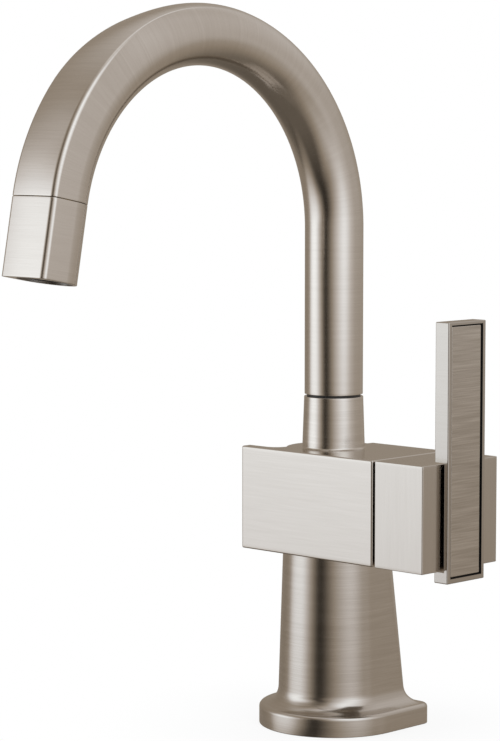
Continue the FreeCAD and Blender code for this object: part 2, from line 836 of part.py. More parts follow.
# Lever: a flat bar notched over the hub's end, with a tenon into the hub and a pocket for the inlay
def make_lever_frame():
    body = new_body("lever_frame")
    half = d.lever_width / 2
    side = new_sketch(body, "side", "XZ_Plane", -half)
    notch_bottom = d.block_bottom - d.notch_gap
    notch_top = block_top + d.notch_gap
    outline(side, [
        (lever_inner, lever_bottom),
        (lever_outer, lever_bottom),
        (lever_outer, lever_top),
        (lever_inner, lever_top),
        (lever_inner, notch_top),
        (notch_floor, notch_top),
        (notch_floor, notch_bottom),
        (lever_inner, notch_bottom),
    ])
    bar = extrude(body, "Pad", side, d.lever_width)

    def on_corner(point):
        limits = (
            near(abs(point.y), half),
            near(point.x, lever_inner) or near(point.x, lever_outer),
            near(point.z, lever_bottom) or near(point.z, lever_top),
        )
        return sum(limits) >= 2

    soften(body, bar, edges_where(bar, on_corner), d.lever_edge)
    pocket = new_sketch(body, "pocket", "YZ_Plane", lever_outer)
    rectangle(pocket, d.rim_side - half, half - d.rim_side, lever_bottom + d.rim_end, lever_top - d.rim_end)
    extrude(body, "Pocket", pocket, d.inlay_depth)
    tenon = new_sketch(body, "tenon", "YZ_Plane", notch_floor)
    rise = d.tenon_height / 2
    rectangle(tenon, -d.tenon_width / 2, d.tenon_width / 2, handle_height - rise, handle_height + rise)
    extrude(body, "Pad", tenon, d.tenon_length, backwards=True)
    holes = new_sketch(body, "screw_holes", "YZ_Plane", tenon_end)
    for sign in (-1, 1):
        circle(holes, d.lever_screw_radius + d.fit_gap, up=handle_height + sign * d.lever_screw_offset)
    depth = d.lever_screw_length - d.hub_end_wall
    extrude(body, "Pocket", holes, depth, backwards=True)


# Inlay: the plate that lies flush in the lever's pocket, with a groove all round it
def make_lever_inlay():
    body = new_body("lever_inlay")
    half = d.lever_width / 2 - d.rim_side - d.inlay_groove
    inset = d.rim_end + d.inlay_groove
    face = new_sketch(body, "face", "YZ_Plane", lever_outer - d.inlay_depth)
    rectangle(face, -half, half, lever_bottom + inset, lever_top - inset)
    plate = extrude(body, "Pad", face, d.inlay_depth)
    names = edges_where(plate, lambda point: near(point.x, lever_outer))
    soften(body, plate, names, d.inlay_edge)


# Two screws through the hub's end wall into the lever's tenon
def make_lever_screws():
    body = new_body("lever_screw", piece=False)
    along_handle(body, height=handle_height + d.lever_screw_offset)
    head = hub_hollow_end - d.lever_screw_head_height
    tip = hub_hollow_end + d.lever_screw_length
    revolve(body, [
        (zero, head + d.lever_screw_key_radius),
        (d.lever_screw_key_radius, head + d.lever_screw_key_radius),
        (d.lever_screw_key_radius, head),
        (d.lever_screw_head_radius, head),
        (d.lever_screw_head_radius, hub_hollow_end),
        (d.lever_screw_radius, hub_hollow_end),
        (d.lever_screw_radius, tip - d.end_gap),
        (d.lever_screw_radius - d.end_gap, tip),
        (zero, tip),
    ])
    other = doc.addObject("Part::Mirroring", "lever_screw_below")
    other.Source = body
    other.Normal = Z_AXIS
    other.Base = Z_AXIS * handle_height.value
    bind(other, "Base.z", handle_height)
    pieces.append(group("Compound", "lever_screws", [body, other]))


# Spout: a round riser whose bend grows a flat outer face and flat sides on the way to the outlet
def make_spout_tube():
    body = new_body("spout_tube")
    sections = []
    for index in range(SPOUT_SECTIONS + 1):
        angle = d.bend_angle * (index / SPOUT_SECTIONS)
        section = new_sketch(body, f"section{index}", "XY_Plane")
        set_on_bend(section, angle)
        corner = section_corner(angle)
        outline(section, squared_round(d.spout_radius, d.spout_radius, corner))
        sections.append(section)
    extrude(body, "Pad", sections[0], d.riser_length, backwards=True)
    bend = body.newObject("PartDesign::AdditiveLoft", "bend")
    bend.Profile = sections[0]
    bend.Sections = sections[1:]
    bend.Ruled = False
    at_foot = edges_where(bend, lambda point: near(point.z, riser_bottom))
    soften(body, bend, at_foot, d.spout_edge)
    path = new_sketch(body, "path", "YZ_Plane")
    draw_spout_path(path)
    mouth = new_sketch(body, "bore", "XY_Plane", riser_bottom)
    circle(mouth, d.spout_bore_radius)
    bore = body.newObject("PartDesign::SubtractivePipe", "spout_bore")
    bore.Profile = mouth
    bore.Spine = (path, ["Edge1", "Edge2"])
    socket = new_sketch(body, "socket", "XY_Plane")
    set_on_bend(socket, d.bend_angle)
    circle(socket, d.joiner_radius + d.fit_gap)
    extrude(body, "Pocket", socket, d.joiner_depth + d.end_gap)


def set_on_bend(sketch, angle):
    """Lays a sketch square to the bend at an angle from the riser, with its y axis outwards."""
    y = d.bend_radius * (cosine(angle) - 1)
    z = bend_height + d.bend_radius * sine(angle)
    base = FreeCAD.Vector(0, y.value, z.value)
    sketch.AttachmentOffset = FreeCAD.Placement(base, FreeCAD.Rotation(X_AXIS, angle.value))
    bind(sketch, "AttachmentOffset.Base.y", y)
    bind(sketch, "AttachmentOffset.Base.z", z)
    if angle.value > 0:
        bind(sketch, "AttachmentOffset.Rotation.Angle", angle)


def section_corner(angle):
    """Corner radius of the spout's section: the full radius up to square_start, outlet_corner from square_end."""
    share = (angle.value - d.square_start.value) / (d.square_end.value - d.square_start.value)
    share = min(max(share, 0), 1)
    ease = share * share * (3 - 2 * share)
    round_corner = d.spout_radius - d.round_flat
    return round_corner - (round_corner - d.outlet_corner) * ease


def draw_spout_path(sketch):
    """The spout's centre line: straight up the riser, then round the bend."""
    start = FreeCAD.Vector(0, riser_bottom.value, 0)
    turn = FreeCAD.Vector(0, bend_height.value, 0)
    centre = FreeCAD.Vector(-d.bend_radius.value, bend_height.value, 0)
    sketch.addGeometry(Part.LineSegment(start, turn))
    bend = Part.Circle(centre, Z_AXIS, d.bend_radius.value)
    sketch.addGeometry(Part.ArcOfCircle(bend, 0, math.radians(d.bend_angle.value)))
    sketch.addConstraint(Sketcher.Constraint("Coincident", 0, 2, 1, 1))
    place_point(sketch, 0, 1, zero, riser_bottom, "foot")
    place_point(sketch, 0, 2, zero, bend_height, "turn")
    place_point(sketch, 1, 3, -d.bend_radius, bend_height, "centre")
    constrain(sketch, "DistanceY", (-1, 1, 1, 2), outlet_z, "outlet_up")


# Shank: the brass spigot in the riser's foot, which turns in the neck
def make_swivel_shank():
    body = new_body("swivel_shank")
    shoulder = riser_bottom + d.end_gap
    top = riser_bottom + d.shank_socket
    bottom = neck_top - d.shank_tail
    wide = d.spout_bore_radius - d.fit_gap
    screw_half = d.spout_screw_radius + d.end_gap
    screw_middle = neck_top - d.spout_screw_place
    screw_floor = d.shank_radius - d.spout_screw_groove
    ring_half = d.spout_ring_wire + d.end_gap / 2
    ring_floor = spout_ring_inner - d.fit_gap
    corners = [
        (d.shank_bore_radius, bottom),
        (d.shank_radius, bottom),
    ]
    for middle in reversed(spout_ring_middles):
        corners += [
            (d.shank_radius, middle - ring_half),
            (ring_floor, middle - ring_half),
            (ring_floor, middle + ring_half),
            (d.shank_radius, middle + ring_half),
        ]
    corners += [
        (d.shank_radius, screw_middle - screw_half),
        (screw_floor, screw_middle - screw_half),
        (screw_floor, screw_middle + screw_half),
        (d.shank_radius, screw_middle + screw_half),
        (d.shank_radius, shoulder),
        (wide, shoulder),
        (wide, top),
        (d.shank_bore_radius, top),
    ]
    revolve(body, corners)


spout_ring_outer = d.neck_bore_radius - d.run_gap
spout_ring_inner = spout_ring_outer - 2 * d.spout_ring_wire
spout_ring_middles = [
    neck_top - d.spout_ring_place,
    neck_top - d.spout_ring_place - d.spout_ring_pitch,
]


def make_spout_orings():
    rings = []
    for number, middle in enumerate(spout_ring_middles, start=1):
        seal = ring(f"spout_oring_{number}", spout_ring_outer - d.spout_ring_wire, d.spout_ring_wire)
        place(seal, z=middle)
        rings.append(seal)
    pieces.append(group("Compound", "spout_orings", rings))


# Plastic bush whose flange fills the gap under the riser, and a plain ring lower down
def make_swivel_bearings():
    inner = d.shank_radius + d.run_gap
    outer = d.neck_bore_radius - d.fit_gap
    bush = new_body("swivel_bush")
    revolve(bush, [
        (inner, neck_top - d.bush_length),
        (outer, neck_top - d.bush_length),
        (outer, neck_top),
        (d.bush_flange_radius, neck_top),
        (d.bush_flange_radius, riser_bottom - d.run_gap),
        (inner, riser_bottom - d.run_gap),
    ])
    lower = new_body("lower_glide_ring")
    middle = neck_top - d.glide_ring_place
    half = d.glide_ring_height / 2
    revolve(lower, tube(inner, outer, middle - half, middle + half))


# Set screw behind the neck, whose tip runs in the shank's groove
def make_spout_set_screw():
    body = new_body("spout_set_screw")
    place(body, z=neck_top - d.spout_screw_place, axis=X_AXIS, angle=-90)
    tip = d.shank_radius - d.spout_screw_groove + d.end_gap
    end = d.neck_top_radius - d.spout_screw_recess
    key = d.spout_screw_radius / 2
    revolve(body, [
        (zero, tip),
        (key, tip),
        (d.spout_screw_radius, tip + key),
        (d.spout_screw_radius, end),
        (key, end),
        (key, end - d.spout_screw_radius),
        (zero, end - d.spout_screw_radius),
    ])


# Nozzle: the squared end piece below the seam, with a pocket for the flow former
def make_nozzle():
    body = new_body("nozzle")
    at_outlet(body)
    section = new_sketch(body, "section", "XY_Plane", d.nozzle_seam)
    outline(section, squared_round(d.spout_radius, d.spout_radius, d.outlet_corner))
    block = extrude(body, "Pad", section, d.nozzle_length - d.nozzle_seam)
    ends = edges_where(block, lambda point: near(point.z, d.nozzle_seam) or near(point.z, d.nozzle_length))
    soften(body, block, ends, d.nozzle_edge)
    bore = new_sketch(body, "bore", "XY_Plane", d.nozzle_seam)
    circle(bore, d.joiner_radius + d.fit_gap)
    extrude(body, "Pocket", bore, d.nozzle_length, backwards=True)
    pocket = new_sketch(body, "pocket", "XY_Plane", d.nozzle_length)
    circle(pocket, d.aerator_radius + d.fit_gap)
    extrude(body, "Pocket", pocket, d.aerator_pocket)


# Joiner across the seam, with a seal ring on the nozzle's side
def make_nozzle_adapter():
    body = new_body("nozzle_adapter")
    at_outlet(body)
    floor = d.joiner_radius - 2 * d.joiner_ring_wire - d.fit_gap
    half = d.joiner_ring_wire + d.end_gap / 2
    revolve(body, [
        (d.joiner_bore_radius, -d.joiner_depth),
        (d.joiner_radius, -d.joiner_depth),
        (d.joiner_radius, d.joiner_ring_place - half),
        (floor, d.joiner_ring_place - half),
        (floor, d.joiner_ring_place + half),
        (d.joiner_radius, d.joiner_ring_place + half),
        (d.joiner_radius, d.joiner_reach),
        (d.joiner_bore_radius, d.joiner_reach),
    ])
    seal = ring("nozzle_oring", d.joiner_radius - d.joiner_ring_wire, d.joiner_ring_wire)
    y = outlet_y - d.joiner_ring_place * sine(d.bend_angle)
    z = outlet_z + d.joiner_ring_place * cosine(d.bend_angle)
    place(seal, y=y, z=z, axis=X_AXIS, angle=d.bend_angle)
    pieces.append(seal)


# Flow former: a gasket on the pocket's shoulder, a lipped housing, and a perforated screen on its lip
def make_aerator():
    shoulder = d.nozzle_length - d.aerator_pocket
    start = shoulder + d.aerator_gasket_thickness
    end = d.nozzle_length - d.aerator_recess
    inner = d.aerator_radius - d.aerator_wall
    lip = inner - d.aerator_lip
    gasket = new_body("aerator_gasket")
    at_outlet(gasket)
    revolve(gasket, tube(d.aerator_gasket_inner_radius, d.aerator_radius, shoulder, start))
    housing = new_body("aerator_housing")
    at_outlet(housing)
    revolve(housing, [
        (inner, start),
        (d.aerator_radius, start),
        (d.aerator_radius, end),
        (lip, end),
        (lip, end - d.aerator_lip_height),
        (inner, end - d.aerator_lip_height),
    ])
    screen = new_body("aerator_screen")
    at_outlet(screen)
    level = end - d.aerator_lip_height - d.screen_thickness
    face = new_sketch(screen, "face", "XY_Plane", level)
    circle(face, inner - d.fit_gap)
    extrude(screen, "Pad", face, d.screen_thickness)
    centre = new_sketch(screen, "hole0", "XY_Plane", level)
    circle(centre, d.screen_hole_radius)
    extrude(screen, "Pocket", centre, d.screen_thickness, backwards=True)
    for number in range(1, SCREEN_RINGS + 1):
        hole = new_sketch(screen, f"hole{number}", "XY_Plane", level)
        circle(hole, d.screen_hole_radius, across=number * d.screen_hole_pitch)
        opening = extrude(screen, "Pocket", hole, d.screen_thickness, backwards=True)
        repeat_round(screen, opening, HEXAGON * number)


make_body_casting()
make_base_gasket()
make_inlet()
make_cartridge_body()
make_disc("fixed_disc", disc_start, d.port_offset, zero)
make_disc("moving_disc", moving_start, zero, d.port_offset)
make_seat_seal()
make_bonnet_nut()
make_cartridge_stem()
make_handle_hub()
make_hub_set_screw()
make_lever_frame()
make_lever_inlay()
make_lever_screws()
make_spout_tube()
make_swivel_shank()
make_spout_orings()
make_swivel_bearings()
make_spout_set_screw()
make_nozzle()
make_nozzle_adapter()
make_aerator()
doc.recompute()


# Every feature has to be sound, and every cut has to take something away, before a file is written
def check_model():
    for feature in doc.Objects:
        if "Invalid" in feature.State or "Error" in feature.State:
            raise RuntimeError(f"{feature.Label} failed: {feature.State}")
        if feature.TypeId in ("PartDesign::Pocket", "PartDesign::SubtractivePipe"):
            if feature.Shape.Volume > feature.BaseFeature.Shape.Volume - 1e-3:
                raise RuntimeError(f"{feature.Label} cuts nothing")
    for piece in pieces:
        if piece.Shape.isNull() or not piece.Shape.isValid():
            raise RuntimeError(f"{piece.Label} has no sound shape")


check_model()
os.makedirs("parts", exist_ok=True)
for piece in pieces:
    piece.Shape.exportStep(os.path.join("parts", f"{piece.Label}.step"))
    print(f"{piece.Label}: {len(piece.Shape.Solids)} solid, {piece.Shape.Volume / 1000:.2f} cm3")
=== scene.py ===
# Single-hole beverage faucet in brushed nickel: a hollow pedestal with a square valve block, a flat side
# lever on a box hub, and an arched spout that swivels on the neck and turns from round to squared.
import bpy
import numpy as np
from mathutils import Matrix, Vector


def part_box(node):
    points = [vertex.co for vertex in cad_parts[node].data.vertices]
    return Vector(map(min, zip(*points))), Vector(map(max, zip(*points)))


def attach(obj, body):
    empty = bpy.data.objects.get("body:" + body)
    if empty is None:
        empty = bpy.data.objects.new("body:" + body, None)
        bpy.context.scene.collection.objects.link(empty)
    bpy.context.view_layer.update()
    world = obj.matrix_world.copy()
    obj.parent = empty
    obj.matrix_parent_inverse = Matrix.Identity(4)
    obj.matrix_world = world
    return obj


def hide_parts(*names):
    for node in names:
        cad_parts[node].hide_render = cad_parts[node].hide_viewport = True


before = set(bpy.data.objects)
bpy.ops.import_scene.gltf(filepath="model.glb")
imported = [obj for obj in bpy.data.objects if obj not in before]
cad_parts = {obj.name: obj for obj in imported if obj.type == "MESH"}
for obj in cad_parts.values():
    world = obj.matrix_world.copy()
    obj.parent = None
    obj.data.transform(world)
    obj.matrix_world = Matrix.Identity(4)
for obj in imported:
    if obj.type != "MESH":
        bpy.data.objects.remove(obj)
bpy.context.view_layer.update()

# Pedestal: the cast brass foot of the faucet, turned, linished and plated in satin nickel. From a low flange,
# round in front and squared behind, a hollow sweep runs from the rim up into a column that tapers to a round
# top. It is hollow below, where the studs and the supply hose come up.
MM = 0.001
block_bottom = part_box("handle_hub")[0][2]
block_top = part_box("handle_hub")[1][2]
flange_radius, flange_back, flange_corner = 28.2 * MM, 25.5 * MM, 4.5 * MM
flange_height, flange_edge, flange_middle = 7.8 * MM, 1.6 * MM, 3.2 * MM
foot_break, flat_step = 0.3 * MM, 0.15 * MM
sweep_radius, sweep_back, sweep_round = 26.4 * MM, 23.7 * MM, 3.4 * MM
turn_lift, sweep_height = 1.05 * MM, 6.6 * MM
foot_radius, foot_back, foot_corner = 21.0 * MM, 19.3 * MM, 2.2 * MM
column_radius, column_flare, top_gap = 17.9 * MM, 1.3, 0.02 * MM
round_flat = 0.1 * MM
hollow_radius, hollow_top = 15.0 * MM, 58.0 * MM
groove_inner, groove_outer, groove_depth = 21.35 * MM, 23.95 * MM, 1.65 * MM


def eased(count):
    """Steps from 0 towards 1, crowded at both ends: (1 - cos(pi s)) / 2, without the end itself."""
    return (1 - np.cos(np.pi * np.arange(count) / count)) / 2


def squared_round(radius, back, corner):
    """Outline that is round towards -y and squared towards +y, anticlockwise from the right-hand side.

    It is a straight side up to the corner's start, a quarter turn of the corner's radius, the flat back, the
    other corner and side, and half a circle. Arrays of sizes give one outline for each row.
    """
    radius, back, corner = [np.atleast_1d(np.asarray(size, float))[:, None]
                            for size in (radius, back, corner)]
    run, quarter = eased(12), np.pi / 2 * np.arange(16) / 16
    half = np.pi * np.arange(72) / 72
    across, up = radius - corner, back - corner
    x = [radius + 0 * run, across + corner * np.cos(quarter), across * (1 - 2 * run),
         -across - corner * np.sin(quarter), -radius + 0 * run, -radius * np.cos(half)]
    y = [up * run, up + corner * np.sin(quarter), back + 0 * run,
         up + corner * np.cos(quarter), up * (1 - run), -radius * np.sin(half)]
    rows = max(len(radius), len(back), len(corner))
    return np.stack([np.concatenate([np.broadcast_to(part, (rows, part.shape[1])) for part in axis], axis=1)
                     for axis in (x, y)], axis=-1)


def at_height(outlines, heights):
    """Plan outlines lifted to their heights, as rows of points."""
    heights = np.broadcast_to(np.reshape(heights, (-1, 1, 1)), outlines.shape[:2] + (1,))
    return np.concatenate([outlines, heights], axis=-1)


def lofted(name, rows, lines="round", closed_on_itself=False, end_axis=1, sharp_beyond=32):
    """A closed skin over rows of points: quads join each loop to the next, and flat faces close both ends.

    The map "brush" holds the distance across the finish lines: along the rows where the lines run round the
    piece, round the loop where they run lengthwise, and along end_axis on the flat ends. Edges that turn by
    more than sharp_beyond degrees stay sharp.
    """
    count, around = rows.shape[:2]
    loops = np.concatenate([rows, rows[:, :1]], axis=1)
    index = np.arange(count * around).reshape(count, around)
    index = np.concatenate([index, index[:, :1]], axis=1)
    if closed_on_itself:
        loops = np.concatenate([loops, loops[:1]])
        index = np.concatenate([index, index[:1]])
    along = 0 if lines == "round" else 1
    steps = np.linalg.norm(np.diff(loops, axis=along), axis=2).mean(axis=1 - along)
    grain = np.concatenate([[0], np.cumsum(steps)])
    grain = np.broadcast_to(grain[:, None] if along == 0 else grain[None], index.shape)
    corners = [(slice(None, -1), slice(None, -1)), (slice(None, -1), slice(1, None)),
               (slice(1, None), slice(1, None)), (slice(1, None), slice(None, -1))]
    faces = np.stack([index[c] for c in corners], axis=-1).reshape(-1, 4).tolist()
    across = np.stack([grain[c] for c in corners], axis=-1).ravel()
    points = rows.reshape(-1, 3)
    if not closed_on_itself:
        ends = [index[0, -2::-1], index[-1, :-1]]
        faces += [end.tolist() for end in ends]
        across = np.concatenate([across] + [points[end, end_axis] for end in ends])
    mesh = bpy.data.meshes.new(name)
    mesh.from_pydata(points.tolist(), [], faces)
    brush = mesh.uv_layers.new(name="brush")
    brush.data.foreach_set("uv", np.stack([0 * across, across], axis=-1).ravel())
    mesh.shade_smooth()
    mesh.set_sharp_from_angle(angle=np.radians(sharp_beyond))
    piece = bpy.data.objects.new(name, mesh)
    bpy.context.collection.objects.link(piece)
    return piece


class Signal:
    """A socket of a material's node tree. Arithmetic on it adds Math nodes."""

    def __init__(self, tree, socket=None):
        self.tree = tree
        self.socket = socket

    def node(self, kind, settings=(), inputs=(), out=0):
        """Adds a node of a kind with its settings, fills its sockets by name or number, gives one output."""
        made = self.tree.nodes.new(kind)
        for key, value in dict(settings).items():
            setattr(made, key, value)
        for key, value in dict(inputs).items():
            named = [socket for socket in made.inputs if socket.name == key and socket.enabled]
            socket = made.inputs[key] if isinstance(key, int) else named[0]
            if isinstance(value, Signal):
                self.tree.links.new(value.socket, socket)
            else:
                socket.default_value = value
        return Signal(self.tree, made.outputs[out] if made.outputs else None)

    def maths(self, operation, left, right):
        return self.node("ShaderNodeMath", {"operation": operation}, {0: left, 1: right})

    def __add__(self, other):
        return self.maths("ADD", self, other)

    def __radd__(self, other):
        return self.maths("ADD", other, self)

    def __sub__(self, other):
        return self.maths("SUBTRACT", self, other)

    def __rsub__(self, other):
        return self.maths("SUBTRACT", other, self)

    def __mul__(self, other):
        return self.maths("MULTIPLY", self, other)

    def __rmul__(self, other):
        return self.maths("MULTIPLY", other, self)


def new_finish(name):
    """An empty material, and the signal that its nodes start from."""
    material = bpy.data.materials.new(name)
    material.use_nodes = True
    material.node_tree.nodes.clear()
    return material, Signal(material.node_tree)


def brushed_nickel(name, line_width, roughness, streak, painted_shade=1.0):
    """Satin nickel: fine lines across the brush map, stretched along the stroke, and a slow cloudiness.

    The lines are 4D noise whose fourth axis counts line widths across the stroke, so that they change fast
    across it and slowly along it. They vary the roughness, the colour a little, and a faint relief. The last
    argument, below 1, darkens the plating colour as painted shade, for pieces that stand in less light.
    """
    material, sheet = new_finish(name)
    fine_scale, broad_scale, cloud_scale = 60, 30, 45
    broad_width, fine_share, contrast = 4.5 * line_width, 0.55, 2.2
    line_wear, cloud_wear = min(0.10, 2.4 * streak), 0.04
    place = sheet.node("ShaderNodeTexCoord", out="Object")
    brush = sheet.node("ShaderNodeUVMap", {"uv_map": "brush"})
    across = sheet.node("ShaderNodeSeparateXYZ", {}, {0: brush}, out=1)
    fine = sheet.node("ShaderNodeTexNoise", {"noise_dimensions": "4D"},
                      {"Vector": place, "W": across * (1 / (fine_scale * line_width)),
                       "Scale": fine_scale, "Detail": 1})
    broad = sheet.node("ShaderNodeTexNoise", {"noise_dimensions": "4D"},
                       {"Vector": place, "W": across * (1 / (broad_scale * broad_width)),
                        "Scale": broad_scale, "Detail": 2})
    cloud = sheet.node("ShaderNodeTexNoise", {}, {"Vector": place, "Scale": cloud_scale, "Detail": 3})
    lines = fine_share * fine + (1 - fine_share) * broad
    # Painted shade: the plating colour is scaled down by the last argument for pieces that stand in less
    # light.
    plating = painted_shade * np.array([0.665, 0.620, 0.566])
    colour = sheet.node("ShaderNodeMix", {"data_type": "RGBA"},
                        {"Factor": (lines - 0.5) * contrast + 0.5,
                         "A": (*(plating - streak), 1), "B": (*(plating + streak), 1)}, out=2)
    worn = roughness + (lines - 0.5) * line_wear + (cloud - 0.5) * cloud_wear
    relief = sheet.node("ShaderNodeBump", {},
                        {"Strength": 1.2 * streak, "Distance": 0.1 * MM, "Height": fine})
    shader = sheet.node("ShaderNodeBsdfPrincipled", {},
                        {"Base Color": colour, "Metallic": 1.0, "Roughness": worn, "Normal": relief})
    sheet.node("ShaderNodeOutputMaterial", {}, {"Surface": shader})
    return material


ring_radii = np.repeat([hollow_radius, groove_inner, groove_outer], 2)
underside = at_height(squared_round(ring_radii, ring_radii, ring_radii - round_flat),
                      [hollow_top, 0, 0, groove_depth, groove_depth, 0])
lift = np.linspace(0, np.pi / 2, 9)
rim_inset = np.concatenate([[foot_break + flat_step], foot_break * (1 - np.sin(lift)), [0],
                            flange_edge * (1 - np.cos(lift)), [flange_edge + flat_step]])
rim_level = np.concatenate([[0], foot_break * (1 - np.cos(lift)), [flange_middle],
                            flange_height - flange_edge * (1 - np.sin(lift)), [flange_height]])
rim = at_height(squared_round(flange_radius - rim_inset, flange_back - rim_inset, flange_corner - rim_inset),
                rim_level)
sweep_start = at_height(squared_round(sweep_radius, sweep_back, sweep_round), flange_height)
sweep_turn = at_height(squared_round(foot_radius, foot_back, foot_corner), flange_height)
column_top = at_height(squared_round(column_radius, column_radius, column_radius - round_flat), block_top)
corner_rise, sweep_rise = np.array([turn_lift, sweep_height]) / (block_top - flange_height)
sweep_corner = sweep_turn + (column_top - sweep_turn) * corner_rise
sweep_end = sweep_turn + (column_top - sweep_turn) * sweep_rise
step = np.linspace(0, 1, 25)[:, None, None]
sweep = (1 - step) ** 2 * sweep_start + 2 * step * (1 - step) * sweep_corner + step ** 2 * sweep_end
climb = sweep_rise + (1 - sweep_rise) * np.linspace(0, 1, 41)[1:, None, None] ** column_flare
column = sweep_turn + (column_top - sweep_turn) * climb
column[-1, :, 2] -= top_gap
pedestal = lofted("pedestal", np.concatenate([underside, rim, sweep, column]))
# The pedestal's plating is darkened to 0.94 as painted shade, because the lower pieces stand in less light.
pedestal_finish = brushed_nickel("pedestal_nickel", 0.40 * MM, 0.19, 0.046, 0.94)
pedestal.data.materials.append(pedestal_finish)
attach(pedestal, "body")
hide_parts("body_casting")

# Stud bosses: two posts cast inside the hollow of the pedestal, drilled and tapped for the M5 studs that
# hold the faucet to the deck, and plated with it. Their outlines run from the middle of the tapped hole's end
# down its wall, round its mouth and up the outside.
boss_place = 12.0 * MM
post_radii = np.array([0.02, 2.3, 2.5, 2.5, 2.8, 4.2, 4.4, 4.4]) * MM
post_levels = np.array([22.0, 22.0, 21.8, 0.35, 0.05, 0.05, 0.3, 58.5]) * MM


def turned(radii, heights, around=96):
    """Rows of a turned piece: circles of the given radii at the given heights, about the z axis."""
    angle = 2 * np.pi * np.arange(around) / around
    radii, heights = np.reshape(radii, (-1, 1)), np.reshape(heights, (-1, 1))
    return np.stack([radii * np.cos(angle), radii * np.sin(angle), heights + 0 * angle], axis=-1)


for side, name in ((-1, "stud_boss_left"), (1, "stud_boss_right")):
    boss = lofted(name, turned(post_radii, post_levels, 48) + np.array([side * boss_place, 0, 0]))
    boss.data.materials.append(pedestal_finish)
    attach(boss, "body")

# Valve block: the square body cast in one with the column, milled flat and brushed along its length.
# Its front wall runs on to the left as a thin plate, with a hollow fillet where it leaves the column.
block_front, block_back, block_left, block_right = -21.2 * MM, 21.2 * MM, -28.2 * MM, 38.3 * MM
block_inner, plate_back, plate_fillet = 1.0 * MM, -16.5 * MM, 5.0 * MM
block_corner, block_edge = 0.78 * MM, 0.6 * MM
buried_radius = 17.3 * MM


def straight(start, end, count=10):
    """A straight stretch of an outline and its outward normals, which point to the right of its run."""
    start, run = np.array(start, float), np.subtract(end, start)
    normal = np.array([run[1], -run[0]]) / np.hypot(*run)
    return start + eased(count)[:, None] * run, np.tile(normal, (count, 1))


def bend(centre, radius, first, last, count=8):
    """An arc of an outline between two angles in degrees: anticlockwise bulges out, clockwise is hollow."""
    angle = np.radians(np.linspace(first, last, count, endpoint=False))
    ray = np.stack([np.cos(angle), np.sin(angle)], axis=-1)
    return np.array(centre) + radius * ray, ray * np.sign(last - first)


def joined(*stretches):
    """Stretches one after another, as an outline's points and normals."""
    return np.concatenate([s[0] for s in stretches]), np.concatenate([s[1] for s in stretches])


def edge_profile(low, high, low_edge, high_edge, middle=10, cap_step=0.12 * MM):
    """How far in and how high each row of a prism lies: quarter rounds at both ends and the side between.

    One more row, cap_step further in, keeps the shading of each flat end flat.
    """
    lift = np.linspace(0, np.pi / 2, 8)
    side = low + low_edge + (high - high_edge - low - low_edge) * eased(middle)[1:]
    inset = [[low_edge + cap_step], low_edge * (1 - np.sin(lift)), 0 * side,
             high_edge * (1 - np.cos(lift)), [high_edge + cap_step]]
    level = [[low], low + low_edge * (1 - np.cos(lift)), side, high - high_edge * (1 - np.sin(lift)), [high]]
    return np.concatenate(inset), np.concatenate(level)


def prism(outline, profile, axis):
    """Rows of an outline carried along an axis and drawn in along its normals by the profile."""
    points, normals = outline
    inset, level = profile
    flat = points[None] - inset[:, None, None] * normals[None]
    return np.insert(flat, axis, np.broadcast_to(level[:, None], flat.shape[:2]), axis=-1)


fillet_y = plate_back + plate_fillet
fillet_x = -np.sqrt((buried_radius + plate_fillet) ** 2 - fillet_y ** 2)
fillet_start = np.degrees(np.arctan2(-fillet_y, -fillet_x))
inner_y = np.sqrt(buried_radius ** 2 - block_inner ** 2)
inner_angle = np.degrees(np.arctan2(inner_y, block_inner))
c = block_corner
block_plan = joined(
    straight((block_left + c, block_front), (block_right - c, block_front), 16),
    bend((block_right - c, block_front + c), c, -90, 0),
    straight((block_right, block_front + c), (block_right, block_back - c), 16),
    bend((block_right - c, block_back - c), c, 0, 90),
    straight((block_right - c, block_back), (block_inner + c, block_back)),
    bend((block_inner + c, block_back - c), c, 90, 180),
    straight((block_inner, block_back - c), (block_inner, inner_y)),
    bend((0, 0), buried_radius, inner_angle, 180 + fillet_start, 40),
    bend((fillet_x, fillet_y), plate_fillet, fillet_start, -90, 24),
    straight((fillet_x, plate_back), (block_left + c, plate_back)),
    bend((block_left + c, plate_back - c), c, 90, 180),
    straight((block_left, plate_back - c), (block_left, block_front + c)),
    bend((block_left + c, block_front + c), c, 180, 270))
block_rows = prism(block_plan, edge_profile(block_bottom, block_top, block_edge, block_edge), 2)
valve_block = lofted("valve_block", block_rows)
# The block's plating is darkened to 0.95 as painted shade.
block_finish = brushed_nickel("block_nickel", 0.45 * MM, 0.18, 0.024, 0.95)
valve_block.data.materials.append(block_finish)
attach(valve_block, "body")
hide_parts("body_casting")

# Neck: the turned socket on top of the block that the spout turns in, cast with the block and tapered a
# little. A small fillet runs round its foot, and its rim is broken by hand.
neck_height, neck_bore, neck_sink = 19.6 * MM, 8.8 * MM, 2.0 * MM
neck_foot, neck_rim, rim_flat = 11.85 * MM, 11.2 * MM, 10.9 * MM
neck_fillet, neck_edge = 0.75 * MM, 0.18 * MM
neck_top = block_top + neck_height
lift, climb = np.linspace(0, np.pi / 2, 9), np.linspace(0, 1, 24)[1:-1]
neck_spread = neck_foot + neck_fillet
neck_radii = np.concatenate([[neck_bore, neck_spread], neck_spread - neck_fillet * np.sin(lift),
                             neck_foot + (neck_rim - neck_foot) * climb,
                             neck_rim - neck_edge * (1 - np.cos(lift)), [rim_flat, neck_bore]])
neck_levels = np.concatenate([[-neck_sink] * 2, neck_fillet * (1 - np.cos(lift)),
                              neck_fillet + (neck_height - neck_edge - neck_fillet) * climb,
                              neck_height - neck_edge * (1 - np.sin(lift)), [neck_height] * 2])
neck = lofted("neck", turned(neck_radii, block_top + neck_levels, 144), closed_on_itself=True)
neck_finish = brushed_nickel("neck_nickel", 0.40 * MM, 0.16, 0.05)
neck.data.materials.append(neck_finish)
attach(neck, "body")
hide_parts("body_casting")

